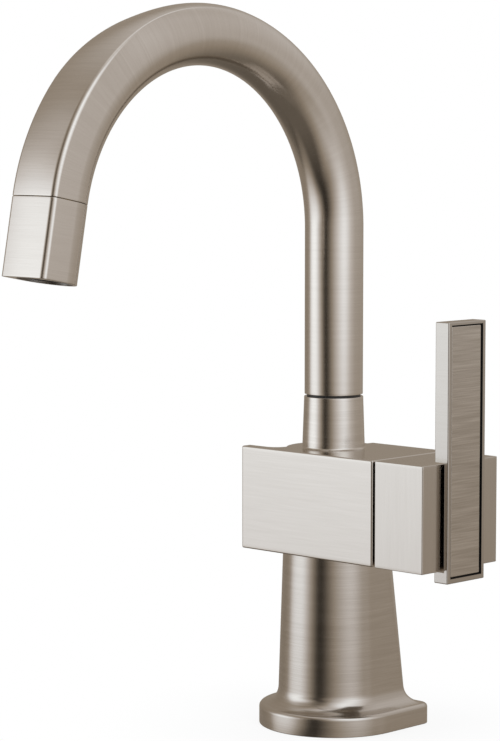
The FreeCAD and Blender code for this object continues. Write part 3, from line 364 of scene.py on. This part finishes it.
# Seals and plastic rings: moulded black rubber rings and washers, and the black acetal bush and glide ring
# that the spout turns on. The bush shows as the dark line between neck and spout.
rubber_nodes = ("base_gasket", "seat_seal", "cartridge_oring", "stem_oring", "spout_orings", "nozzle_oring",
                "aerator_gasket", "inlet_washer")
plastic_nodes = ("swivel_bush", "lower_glide_ring", "aerator_housing", "aerator_screen")


def moulded(name, dark, light, roughness, pit, gloss=0.5):
    """Moulded rubber or plastic: two close shades in soft clouds, a fine pitted skin and an uneven sheen."""
    material, sheet = new_finish(name)
    cloud_scale, pit_depth, pit_strength, sheen = 220, 0.03 * MM, 0.25, 0.2
    place = sheet.node("ShaderNodeTexCoord", out="Object")
    cloud = sheet.node("ShaderNodeTexNoise", {}, {"Vector": place, "Scale": cloud_scale, "Detail": 3})
    skin = sheet.node("ShaderNodeTexNoise", {}, {"Vector": place, "Scale": 1 / pit, "Detail": 2})
    colour = sheet.node("ShaderNodeMix", {"data_type": "RGBA"},
                        {"Factor": cloud, "A": dark, "B": light}, out=2)
    relief = sheet.node("ShaderNodeBump", {},
                        {"Strength": pit_strength, "Distance": pit_depth, "Height": skin})
    shader = sheet.node("ShaderNodeBsdfPrincipled", {},
                        {"Base Color": colour, "Normal": relief, "Specular IOR Level": gloss,
                         "Roughness": roughness + (cloud - 0.5) * sheen})
    sheet.node("ShaderNodeOutputMaterial", {}, {"Surface": shader})
    return material


def dress(nodes, finish):
    """Gives carried-over CAD nodes a finish."""
    for node in nodes:
        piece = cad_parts[node]
        piece.data.materials.clear()
        piece.data.materials.append(finish)


dress(rubber_nodes,
      moulded("black_rubber", (0.012, 0.012, 0.013, 1), (0.028, 0.027, 0.027, 1), 0.62, 0.25 * MM))
dress(plastic_nodes,
      moulded("black_acetal", (0.016, 0.015, 0.015, 1), (0.036, 0.034, 0.033, 1), 0.42, 0.18 * MM))

# Valve and waterway pieces: the inlet nipple, cartridge, bonnet nut, stem, swivel shank and nozzle joiner,
# all turned from brass rod and left bare, with fine tool marks on them.
brass_nodes = ("inlet_fitting", "cartridge_body", "bonnet_nut", "cartridge_stem", "swivel_shank",
               "nozzle_adapter")


def turned_metal(name, dark, light, roughness):
    """Bare turned metal: fine tool marks as a close relief, and a light tarnish in clouds."""
    material, sheet = new_finish(name)
    mark_scale, mark_depth, mark_strength = 900, 0.03 * MM, 0.15
    cloud_scale, tarnish = 160, 0.18
    place = sheet.node("ShaderNodeTexCoord", out="Object")
    marks = sheet.node("ShaderNodeTexNoise", {}, {"Vector": place, "Scale": mark_scale, "Detail": 2})
    cloud = sheet.node("ShaderNodeTexNoise", {}, {"Vector": place, "Scale": cloud_scale, "Detail": 4})
    colour = sheet.node("ShaderNodeMix", {"data_type": "RGBA"},
                        {"Factor": cloud, "A": dark, "B": light}, out=2)
    relief = sheet.node("ShaderNodeBump", {},
                        {"Strength": mark_strength, "Distance": mark_depth, "Height": marks})
    shader = sheet.node("ShaderNodeBsdfPrincipled", {},
                        {"Base Color": colour, "Metallic": 1.0, "Normal": relief,
                         "Roughness": roughness + (cloud - 0.5) * tarnish})
    sheet.node("ShaderNodeOutputMaterial", {}, {"Surface": shader})
    return material


dress(brass_nodes, turned_metal("bare_brass", (0.52, 0.36, 0.15, 1), (0.76, 0.59, 0.30, 1), 0.34))

# Screws: a grub screw behind the neck, one under the hub, and the two screws of the lever. They are plain
# steel with a dull zinc finish.
dress(("spout_set_screw", "lever_screws", "hub_set_screw"),
      turned_metal("zinc_steel", (0.36, 0.36, 0.37, 1), (0.52, 0.52, 0.53, 1), 0.36))

# Valve discs: two lapped ceramic discs that turn on each other, off-white and nearly polished. They lie in
# the cartridge, one fixed on its seal and the other turned by the stem.
dress(("fixed_disc", "moving_disc"),
      moulded("lapped_ceramic", (0.80, 0.79, 0.75, 1), (0.90, 0.89, 0.86, 1), 0.22, 0.4 * MM))

# Handle hub: a square box that carries the lever, cast, milled to the block's section and brushed
# upright. It turns with the lever, with a narrow gap between it and the block.
hub_low, hub_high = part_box("handle_hub")
hub_corner, hub_edge = 0.4 * MM, 0.27 * MM


def rounded_box(low, high, corner, count=16):
    """Outline of a rectangle between two corner points, with rounded corners, anticlockwise."""
    (left, bottom), (right, top), c = low, high, corner
    return joined(
        straight((left + c, bottom), (right - c, bottom), count), bend((right - c, bottom + c), c, -90, 0),
        straight((right, bottom + c), (right, top - c), count), bend((right - c, top - c), c, 0, 90),
        straight((right - c, top), (left + c, top), count), bend((left + c, top - c), c, 90, 180),
        straight((left, top - c), (left, bottom + c), count), bend((left + c, bottom + c), c, 180, 270))


hub_plan = rounded_box((hub_low[0], hub_low[1]), (hub_high[0], hub_high[1]), hub_corner)
hub_rows = prism(hub_plan, edge_profile(hub_low[2], hub_high[2], hub_edge, hub_edge), 2)
hub = lofted("hub_box", hub_rows, "lengthwise", end_axis=0)
# The hub's plating is darkened to 0.92 as painted shade.
hub_finish = brushed_nickel("hub_nickel", 0.40 * MM, 0.18, 0.018, 0.92)
hub.data.materials.append(hub_finish)
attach(hub, "handle")
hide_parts("handle_hub")

# Lever: a flat bar notched over the hub's end, with a tenon screwed into the hub from inside. Its outer face
# is recessed, which leaves a narrow raised rim round the inlay, and the recess's walls and floor are painted
# near black as painted shade, so that the groove round the inlay reads as a deep shadow. It is brushed
# across, and made here in three lengths: foot, waist behind the notch, and blade.
lever_low, lever_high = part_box("lever_frame")
lever_inner, lever_outer, notch_floor = 58.9 * MM, 65.3 * MM, 63.35 * MM
lever_half, lever_edge, row_step = 10.5 * MM, 0.45 * MM, 0.1 * MM
end_edge, end_flat, end_side = 0.4 * MM, 0.44 * MM, 0.55 * MM
rim_side, rim_top, rim_foot = 1.75 * MM, 1.1 * MM, 1.75 * MM
recess_depth, recess_edge = 1.0 * MM, 0.1 * MM
notch_low, notch_high = 66.3 * MM, 106.4 * MM
tenon_length, tenon_lap, tenon_half, tenon_rise = 8.6 * MM, 0.2 * MM, 7.0 * MM, 16 * MM
tenon_corner, tenon_edge = 0.3 * MM, 0.15 * MM


def lever_section(inner, recess):
    """Section of the lever at one height: the bar, with its outer face recessed between two rims.

    A recess of 1 has its full depth, and one of 0 lies in the face. The third result is the recess's slice.
    """
    e, b, half, outer = lever_edge, recess_edge, lever_half, lever_outer
    floor, wall = lever_outer - recess_depth, lever_half - rim_side
    bar = [straight((inner + e, -half), (outer - e, -half)),
           bend((outer - e, -half + e), e, -90, 0),
           straight((outer, -half + e), (outer, -wall - b), 6)]
    pocket = [bend((outer - b, -wall - b), b, 0, 90, 4),
              straight((outer - b, -wall), (floor + b, -wall), 4),
              bend((floor + b, -wall + b), b, -90, -180, 4),
              straight((floor, -wall + b), (floor, wall - b)),
              bend((floor + b, wall - b), b, 180, 90, 4),
              straight((floor + b, wall), (outer - b, wall), 4),
              bend((outer - b, wall + b), b, -90, 0, 4)]
    rest = [straight((outer, wall + b), (outer, half - e), 6),
            bend((outer - e, half - e), e, 0, 90),
            straight((outer - e, half), (inner + e, half)),
            bend((inner + e, half - e), e, 90, 180),
            straight((inner, half - e), (inner, -half + e)),
            bend((inner + e, -half + e), e, 180, 270)]
    points, normals = joined(*bar, *pocket, *rest)
    start = sum(len(s[0]) for s in bar)
    recessed = slice(start, start + sum(len(s[0]) for s in pocket))
    points[recessed, 0] = outer + (points[recessed, 0] - outer) * recess
    normals[recessed] = normals[recessed] if recess == 1 else (1, 0)
    return points, normals, recessed


def even_run(section, low, high):
    """A length of one section between two heights, with a row close to each end."""
    return section, np.zeros(4), np.array([low, low + row_step, high - row_step, high])


lift = np.linspace(0, np.pi / 2, 8)
pocket_low, pocket_high = lever_low[2] + rim_foot, lever_high[2] - rim_top
solid, recessed = lever_section(lever_inner, 0), lever_section(lever_inner, 1)
notched = lever_section(notch_floor, 1)
end_inset = np.concatenate([[end_flat], end_edge * (1 - np.sin(lift)), [0, 0]])
end_rise = np.concatenate([[0], end_edge * (1 - np.cos(lift)), [end_side]])
runs = [(solid, end_inset, np.append(lever_low[2] + end_rise, pocket_low)),
        even_run(recessed, pocket_low, notch_low),
        even_run(notched, notch_low, notch_high),
        even_run(recessed, notch_high, pocket_high),
        (solid, end_inset[::-1], np.append(lever_high[2] - end_rise, pocket_high)[::-1])]
# The lever's plating is darkened to 0.82 as painted shade, which dims its brightly lit side.
lever_finish = brushed_nickel("lever_nickel", 0.40 * MM, 0.17, 0.018, 0.82)
# A near-black, almost glossless finish for the recess walls and floor: painted shade that darkens the groove
# round the inlay.
painted_groove_shade = moulded("painted_groove_shade", (0.006, 0.006, 0.006, 1), (0.012, 0.011, 0.011, 1), 0.6, 0.3 * MM,
                        gloss=0.05)
for name, length in (("lever_foot", runs[:2]), ("lever_waist", runs[2:3]), ("lever_blade", runs[3:])):
    bar = lofted(name, np.concatenate([prism(section[:2], (inset, level), 2)
                                       for section, inset, level in length]))
    open_row = np.concatenate([np.full(len(level), section is not solid)
                               for section, inset, level in length])
    # The recess faces of every row that is not solid get the painted shade.
    groove_shade_faces = np.zeros((len(open_row) - 1, len(solid[0])), int)
    groove_shade_faces[open_row[:-1] | open_row[1:], solid[2]] = 1
    bar.data.polygons.foreach_set("material_index", np.append(groove_shade_faces.ravel(), [0, 0]))
    bar.data.materials.append(lever_finish)
    bar.data.materials.append(painted_groove_shade)
    bar.visible_glossy = name == "lever_waist"
    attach(bar, "handle")
    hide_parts("lever_frame")
tenon_plan = rounded_box((notch_floor - tenon_length, -tenon_half), (notch_floor + tenon_lap, tenon_half),
                         tenon_corner)
tenon_middle = (notch_low + notch_high) / 2
tenon_levels = edge_profile(tenon_middle - tenon_rise, tenon_middle + tenon_rise, tenon_edge, tenon_edge)
tenon = lofted("lever_tenon", prism(tenon_plan, tenon_levels, 2))
tenon.data.materials.append(lever_finish)
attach(tenon, "handle")
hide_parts("lever_frame")

# Inlay: a thin plate bonded into the lever's recess, a little below its rim, with a groove all round that is
# dark from the painted shade on the recess's walls.
# It is brushed across, more coarsely than the rest.
groove, inlay_recess, inlay_corner = 0.65 * MM, 0.5 * MM, 0.4 * MM
inlay_back_edge, inlay_edge = 0.02 * MM, 0.12 * MM
inlay_half = lever_half - rim_side - groove
inlay_face = rounded_box((-inlay_half, pocket_low + groove), (inlay_half, pocket_high - groove), inlay_corner)
inlay_levels = edge_profile(lever_outer - recess_depth, lever_outer - inlay_recess,
                            inlay_back_edge, inlay_edge, 4)
inlay = lofted("inlay_plate", prism(inlay_face, inlay_levels, 0), "lengthwise", end_axis=2)
# The inlay's plating is darkened to 0.89 as painted shade.
inlay_finish = brushed_nickel("inlay_nickel", 0.55 * MM, 0.20, 0.125, 0.89)
inlay.data.materials.append(inlay_finish)
inlay.visible_glossy = False
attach(inlay, "handle")
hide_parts("lever_inlay")

# Spout: a brass tube that rises straight, arches over and comes down to the outlet. It is round nearly to the
# crown. Past it the tube is pressed in a former, so that two creases open, its outer side goes flat between
# them, and the creases soften into round corners towards the outlet.
spout_radius, spout_bore = 11.05 * MM, 8.5 * MM
riser_gap, riser_length = 1.1 * MM, 62.4 * MM
foot_lip, foot_edge, foot_flat, first_row = 0.2 * MM, 0.18 * MM, 0.6 * MM, 0.9 * MM
outlet_lip, outlet_flat, last_row = 0.2 * MM, 0.3 * MM, 0.6 * MM
bend_radius, bend_angle = 70.8 * MM, 169.4
riser_rows, bend_rows = 29, 220
crease_angle = np.radians(39.5)
crease_lift, crease_spread, crease_round = (60, 138), (96, 139), (108, 156)
side_draw, face_crown, fine_corner, outlet_corner = 0.02 * MM, 0.45 * MM, 0.3 * MM, 1.8 * MM
joiner_radius, joiner_depth = 9.05 * MM, 9.0 * MM


def soft_step(value, first, last):
    """0 before first, 1 after last, and 3 s^2 - 2 s^3 between."""
    share = np.clip((value - first) / (last - first), 0, 1)
    return share ** 2 * (3 - 2 * share)


def creased_round(radius, across, up, corner):
    """Outline of half a circle towards -y, and towards +y of two sides and a face that meet at two creases.

    A crease lies across and up from the centre. Each side is an arc that leaves the half circle upright and
    ends there, and the face is an arc that is level in its middle: an arc that falls in by a over a length b
    has the radius (a^2 + b^2) / 2a. A conic rounds each crease, from a corner's length before to one after.
    """
    radius, across, up, corner = [np.reshape(size, (-1, 1)) for size in (radius, across, up, corner)]
    side, face = [(a ** 2 + b ** 2) / (2 * a) for a, b in ((radius - across, up), (radius - up, across))]
    side_turn, face_turn = np.arcsin(up / side) - corner / side, np.arcsin(across / face) - corner / face

    def on_side(share):
        return radius - side + side * np.cos(side_turn * share), side * np.sin(side_turn * share)

    def on_face(share):
        return face * np.sin(face_turn * share), radius - face + face * np.cos(face_turn * share)

    def on_corner(share):
        weights = (1 - share) ** 2, np.sqrt(2) * share * (1 - share), share ** 2
        return [(weights[0] * a + weights[1] * b + weights[2] * c) / sum(weights)
                for a, b, c in zip(on_side(1), (across, up), on_face(1))]

    run, turn, half = eased(20), np.arange(10) / 10, np.pi * np.arange(96) / 96
    right = [on_side(run), on_corner(turn), on_face(1 - 2 * run)]
    left = [on_corner(1 - turn), on_side(1 - run)]
    x = [part[0] for part in right] + [-part[0] for part in left] + [-radius * np.cos(half)]
    y = [part[1] for part in right + left] + [-radius * np.sin(half)]
    rows = max(len(radius), len(across))
    return np.stack([np.concatenate([np.broadcast_to(part, (rows, part.shape[1])) for part in axis], axis=1)
                     for axis in (x, y)], axis=-1)


def along_spout(outlines, travel):
    """Outlines set square to the spout's line at distances along it: straight up, then round the bend.

    Their outer side, +y, looks away from the bend's centre.
    """
    turn = np.clip((travel - riser_length) / bend_radius, 0, None)[:, None]
    height = riser_bottom + np.minimum(travel, riser_length)[:, None]
    out = bend_radius + outlines[..., 1]
    return np.stack([outlines[..., 0], out * np.cos(turn) - bend_radius, height + out * np.sin(turn)],
                    axis=-1)


riser_bottom = neck_top + riser_gap
bend_height = riser_bottom + riser_length
spout_length = riser_length + np.radians(bend_angle) * bend_radius
lift = np.linspace(0, np.pi / 2, 8)
travel = np.concatenate([[0, -foot_lip], foot_edge * (1 - np.cos(lift)) - foot_lip,
                         np.linspace(first_row, riser_length, riser_rows, endpoint=False),
                         np.linspace(riser_length, spout_length - last_row, bend_rows),
                         spout_length - outlet_lip * (1 - np.sin(lift)), [spout_length]])
inset = np.concatenate([[foot_flat] * 2, foot_edge * (1 - np.sin(lift)), np.zeros(riser_rows + bend_rows),
                        outlet_lip * (1 - np.cos(lift)), [outlet_flat]])
turn = np.degrees((travel - riser_length) / bend_radius)
outlet_across, outlet_up = spout_radius - side_draw, spout_radius - face_crown
across = spout_radius * np.sin(crease_angle)
across = across + (outlet_across - across) * soft_step(turn, *crease_spread)
up = spout_radius * np.cos(crease_angle)
up = up + (outlet_up - up) * soft_step(turn, *crease_lift)
corner = fine_corner + (outlet_corner - fine_corner) * soft_step(turn, *crease_round)
outlines = creased_round(spout_radius, across, up, corner) * (1 - inset / spout_radius)[:, None, None]
outside = along_spout(outlines, travel)
inner_travel = np.concatenate([[spout_length], [spout_length - joiner_depth] * 2,
                               np.linspace(spout_length - joiner_depth, riser_length, 60)[1:], [0]])
inner_radius = np.concatenate([[joiner_radius] * 2, [spout_bore] * 61])


def round_bore(radius):
    """Circles with as many points as the creased outlines."""
    return creased_round(radius, radius * np.sin(crease_angle), radius * np.cos(crease_angle), fine_corner)


inside = along_spout(round_bore(inner_radius), inner_travel)
spout = lofted("spout_arch", np.concatenate([outside, inside]), closed_on_itself=True)
spout_finish = brushed_nickel("spout_nickel", 0.40 * MM, 0.17, 0.030)
spout.data.materials.append(spout_finish)
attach(spout, "spout")
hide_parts("spout_tube")

# Nozzle: the squared end of the spout, a separate machined piece pushed onto the joiner, with a hairline
# seam. It carries on the spout's outlet section, straight, and holds the flow former in its mouth.
nozzle_start, nozzle_length, nozzle_edge = 0.15 * MM, 27.7 * MM, 0.2 * MM
pocket_radius, pocket_depth, nozzle_bore = 9.65 * MM, 14.0 * MM, 9.05 * MM
down = np.radians(bend_angle)
outlet = np.array([0, bend_radius * (np.cos(down) - 1), bend_height + bend_radius * np.sin(down)])
outwards, flow = np.array([0, np.cos(down), np.sin(down)]), np.array([0, -np.sin(down), np.cos(down)])


def along_flow(outlines, distances):
    """Outlines set square to the outlet's line, at distances past the spout's end."""
    return (outlet + outlines[..., :1] * np.array([1, 0, 0]) + outlines[..., 1:] * outwards
            + np.reshape(distances, (-1, 1, 1)) * flow)


inset, level = edge_profile(nozzle_start, nozzle_length, nozzle_edge, nozzle_edge)
mouth_radii = np.array([pocket_radius] * 2 + [nozzle_bore] * 2)
mouth_levels = [nozzle_length, nozzle_length - pocket_depth, nozzle_length - pocket_depth, nozzle_start]
shell = creased_round(spout_radius, outlet_across, outlet_up, outlet_corner)
shell = along_flow(shell * (1 - inset / spout_radius)[:, None, None], level)
mouth = along_flow(round_bore(mouth_radii), mouth_levels)
nozzle = lofted("nozzle_shell", np.concatenate([shell, mouth]), closed_on_itself=True)
nozzle.data.materials.append(spout_finish)
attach(nozzle, "spout")
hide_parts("nozzle")

# Studio: three softboxes and a dim world light a pale floor and the object, and the metal mirrors a light
# tent of its own, closer on the right, with a bright left and right, a black flag between them and warm grey
# walls. Its levels were measured from how the metal looks in the photograph and written as curves.
tent_centre = np.array([0, -0.02, 0.10])
tent_reach, tent_offset, far_side = 1.15, 0.45, -85
top_level = 0.85


def ramp(angle, *stops):
    """A curve through (angle, value) stops."""
    return np.interp(angle, [stop[0] for stop in stops], [stop[1] for stop in stops])


azimuth = np.linspace(-180, 180, 361)[None, :-1]
height = np.linspace(-89.5, 89.5, 180)[:, None]
under_lean = ramp(height, (-35, -14), (-28, -10), (-22, 0))
low_lean = ramp(height, (-27, 0), (-21, 4), (-15, 8), (-4, 8), (-1, 2), (3, 1), (8, 0))
high_lean = ramp(height, (2, 0), (10, 8), (20, 12), (30, 6))
lean = low_lean * soft_step(azimuth, -62, -30) + high_lean * (0.45 + 0.55 * soft_step(azimuth, -45, -15))
lean = lean * soft_step(azimuth, -80, -62) * (1 - soft_step(azimuth, 20, 52))
lean = lean + under_lean * soft_step(azimuth, -20, 10) * (1 - soft_step(azimuth, 55, 90))
wall = ramp(azimuth - lean, (-180, 0.40), (-165, 0.34), (-142, 0.29), (-97, 0.28), (-82, 0.30), (-70, 0.44),
            (-60, 1.06), (-52, 1.36), (-44, 1.41), (-38, 1.38), (-30, 1.10), (-20, 0.62), (-10, 0.31),
            (-2, 0.11), (4, 0.04), (10, 0.04), (20, 0.14), (30, 0.28), (40, 0.42), (50, 0.59), (60, 0.78),
            (70, 0.97), (80, 1.10), (90, 1.06), (100, 0.87), (110, 0.67), (117, 0.58), (127, 0.50),
            (133, 0.45), (157, 0.42), (172, 0.40), (180, 0.40))
upper = ramp(azimuth, (-180, 0.62), (-157, 0.54), (-142, 0.40), (-127, 0.31), (-82, 0.32), (-70, 0.37),
             (-60, 0.50), (-50, 0.58), (-40, 0.49), (-20, 0.38), (-10, 0.28), (0, 0.17), (10, 0.14),
             (20, 0.21), (30, 0.38), (40, 0.67), (50, 0.96), (60, 1.26), (70, 1.38), (80, 1.30), (90, 1.10),
             (100, 0.96), (111, 0.84), (119, 0.66), (127, 0.56), (135, 0.56), (180, 0.62))
crown = ramp(azimuth, (-180, 0.58), (-165, 0.66), (-127, 0.64), (-112, 0.57), (-97, 0.51), (-82, 0.44),
             (-60, 0.33), (-30, 0.26), (-10, 0.23), (0, 0.27), (20, 0.45), (40, 0.68), (50, 0.90), (60, 1.12),
             (70, 1.15), (90, 1.0), (110, 0.75), (120, 0.62), (157, 0.55), (172, 0.54), (180, 0.58))
zenith = ramp(azimuth, (-180, 0.82), (-165, 0.94), (-125, 0.90), (-105, 0.68), (-60, 0.45), (0, 0.45),
              (60, 0.74), (90, 0.72), (112, 0.60), (140, 0.54), (165, 0.58), (180, 0.82))
left_fall = ramp(height, (-62, 0.42), (-35, 0.45), (-25, 0.58), (-20, 0.80), (-13, 0.90), (-8, 0.94), (0, 1))
key_fall = ramp(height, (-62, 0.09), (-50, 0.115), (-41, 0.15), (-35, 0.18), (-29, 0.25), (-25, 0.33),
                (-21, 0.44), (-18, 0.55), (-14, 0.67), (-11, 0.78), (-8, 0.83), (-6, 0.87), (-4, 0.94),
                (0, 1))
fill_fall = ramp(height, (-62, 0.15), (-50, 0.21), (-41, 0.28), (-35, 0.35), (-25, 0.48), (-18, 0.54),
                 (-11, 0.64), (-8, 0.71), (-6, 0.80), (-4, 0.88), (0, 1), (5, 1.12))
right_fall = ramp(height, (-62, 0.38), (-50, 0.38), (-41, 0.47), (-35, 0.55), (-25, 0.66), (-18, 0.75),
                  (-12, 0.79), (-8, 0.82), (-4, 0.92), (0, 1), (4, 1.08), (8, 1.13))
fall = left_fall + (key_fall - left_fall) * soft_step(azimuth, -84, -66)
fall = fall + (fill_fall - fall) * soft_step(azimuth, 0, 36)
fall = fall + (right_fall - fall) * soft_step(azimuth, 108, 128)
fall = fall + (left_fall - fall) * soft_step(azimuth, 160, 180)
level = wall * fall
level = level + (upper - level) * soft_step(height, 10, 34)
level = level + (crown - level) * soft_step(height, 36, 54)
level = level + (zenith - level) * soft_step(height, 52, 66)
level = level + (top_level - level) * soft_step(height, 66, 84)
level = np.maximum(level, ramp(height, (-60, 0.13), (-45, 0.10), (-32, 0.06), (-20, 0.03)))
red = ramp(level, (0.30, 1.17), (0.45, 1.09), (0.60, 1.055), (1.05, 0.973), (1.40, 0.945))
blue = ramp(level, (0.30, 0.82), (0.45, 0.91), (0.60, 0.965), (1.05, 1.05), (1.40, 1.056))
tint = np.stack([red, np.ones(level.shape), blue], axis=-1)
colours = np.concatenate([level[..., None] * tint, np.ones(level.shape + (1,))], axis=-1)
turn, rise = np.radians(azimuth), np.radians(height)
reach = (tent_reach + tent_offset * np.cos(turn - np.radians(far_side)))[..., None]
tent_rows = tent_centre + reach * np.stack([np.cos(rise) * np.sin(turn), -np.cos(rise) * np.cos(turn),
                                            np.sin(rise) + 0 * turn], axis=-1)
tent = lofted("light_tent", tent_rows)
light = tent.data.color_attributes.new("light", "FLOAT_COLOR", "POINT")
light.data.foreach_set("color", colours.ravel())
tent_material, sheet = new_finish("tent_light")
painted = sheet.node("ShaderNodeAttribute", {"attribute_name": "light"})
sheet.node("ShaderNodeOutputMaterial", {},
           {"Surface": sheet.node("ShaderNodeEmission", {}, {"Color": painted, "Strength": 1.0})})
tent_material.cycles.emission_sampling = "NONE"
tent.data.materials.append(tent_material)
tent.visible_camera = tent.visible_diffuse = tent.visible_shadow = False

floor_reach, floor_inner, floor_thickness, floor_level = 2.9, 0.5, 0.01, -0.0002
floor_rows = turned(np.array([0.001, floor_reach, floor_reach, floor_inner, 0.001]),
                    np.array([-floor_thickness, -floor_thickness, floor_level, floor_level, floor_level]), 64)


def seen_rays(sheet):
    """1 for rays from the camera, in gloss or through glass, and 0 for those that light the object."""
    camera, glossy, through = [sheet.node("ShaderNodeLightPath", out=ray)
                               for ray in ("Is Camera Ray", "Is Glossy Ray", "Is Transmission Ray")]
    return camera + glossy + through


floor = lofted("floor", floor_rows, closed_on_itself=True)
floor_material, sheet = new_finish("pale_floor")
seen = seen_rays(sheet)
place = sheet.node("ShaderNodeTexCoord", out="Object")
away = sheet.node("ShaderNodeVectorMath", {"operation": "LENGTH"}, {0: place}, out="Value")
clear = sheet.node("ShaderNodeMapRange", {"interpolation_type": "SMOOTHSTEP"},
                   {"Value": away, "From Min": 0.03, "From Max": 0.10, "To Min": 0.88, "To Max": 1.0})
pale = sheet.node("ShaderNodeBsdfDiffuse", {}, {"Color": (0.86, 0.86, 0.86, 1)})
white = sheet.node("ShaderNodeEmission", {}, {"Color": (1, 1, 1, 1), "Strength": 1.0})
sheet.node("ShaderNodeOutputMaterial", {},
           {"Surface": sheet.node("ShaderNodeMixShader", {}, {0: clear * seen, 1: pale, 2: white})})
floor.data.materials.append(floor_material)
floor.visible_glossy = False


def softbox(name, azimuth, distance, height, size, watts, aim=0.12):
    """A square lamp at an azimuth, a distance and a height, turned to the faucet's axis at the height aim."""
    lamp = bpy.data.lights.new(name, "AREA")
    lamp.shape, lamp.size, lamp.energy = "SQUARE", size, watts
    holder = bpy.data.objects.new(name, lamp)
    turn = np.radians(azimuth)
    tilt = np.arctan2(distance, height - aim)
    holder.location = (distance * np.sin(turn), -distance * np.cos(turn), height)
    holder.rotation_euler = (tilt, 0, turn)
    holder.visible_camera = holder.visible_glossy = False
    bpy.context.collection.objects.link(holder)


softbox("key_softbox", -40, 1.1, 0.9, 0.8, 7)
softbox("fill_softbox", 75, 1.2, 0.8, 0.8, 4.6)
softbox("top_softbox", 180, 0.3, 1.5, 1.0, 6)

world = bpy.data.worlds.new("studio")
bpy.context.scene.world = world
world.use_nodes = True
world.node_tree.nodes.clear()
sheet = Signal(world.node_tree)
seen = seen_rays(sheet)
dim = sheet.node("ShaderNodeBackground", {}, {"Color": (0.95, 0.97, 1, 1), "Strength": 0.5})
white = sheet.node("ShaderNodeBackground", {}, {"Color": (1, 1, 1, 1), "Strength": 1.0})
sheet.node("ShaderNodeOutputWorld", {},
           {"Surface": sheet.node("ShaderNodeMixShader", {}, {0: seen, 1: dim, 2: white})})

# Camera: a long lens, level with the spout's arch, turned 44 degrees to the handle's side and tipped a little
# down. Its focal length in pixels and its place come from the straight edges of the photograph.
focal_pixels, picture_height, sensor = 2631.7, 741, 36
camera_tip, camera_turn = 5.253, 44.09
lens = bpy.data.cameras.new("camera")
lens.sensor_width, lens.lens = sensor, focal_pixels / picture_height * sensor
lens.clip_start, lens.clip_end = 0.01, 20
camera = bpy.data.objects.new("camera", lens)
camera.location = (0.6683, -0.7355, 0.2265)
camera.rotation_euler = (np.radians(90 - camera_tip), 0, np.radians(camera_turn))
bpy.context.collection.objects.link(camera)
bpy.context.scene.camera = camera
bpy.context.scene.view_settings.view_transform = "Standard"
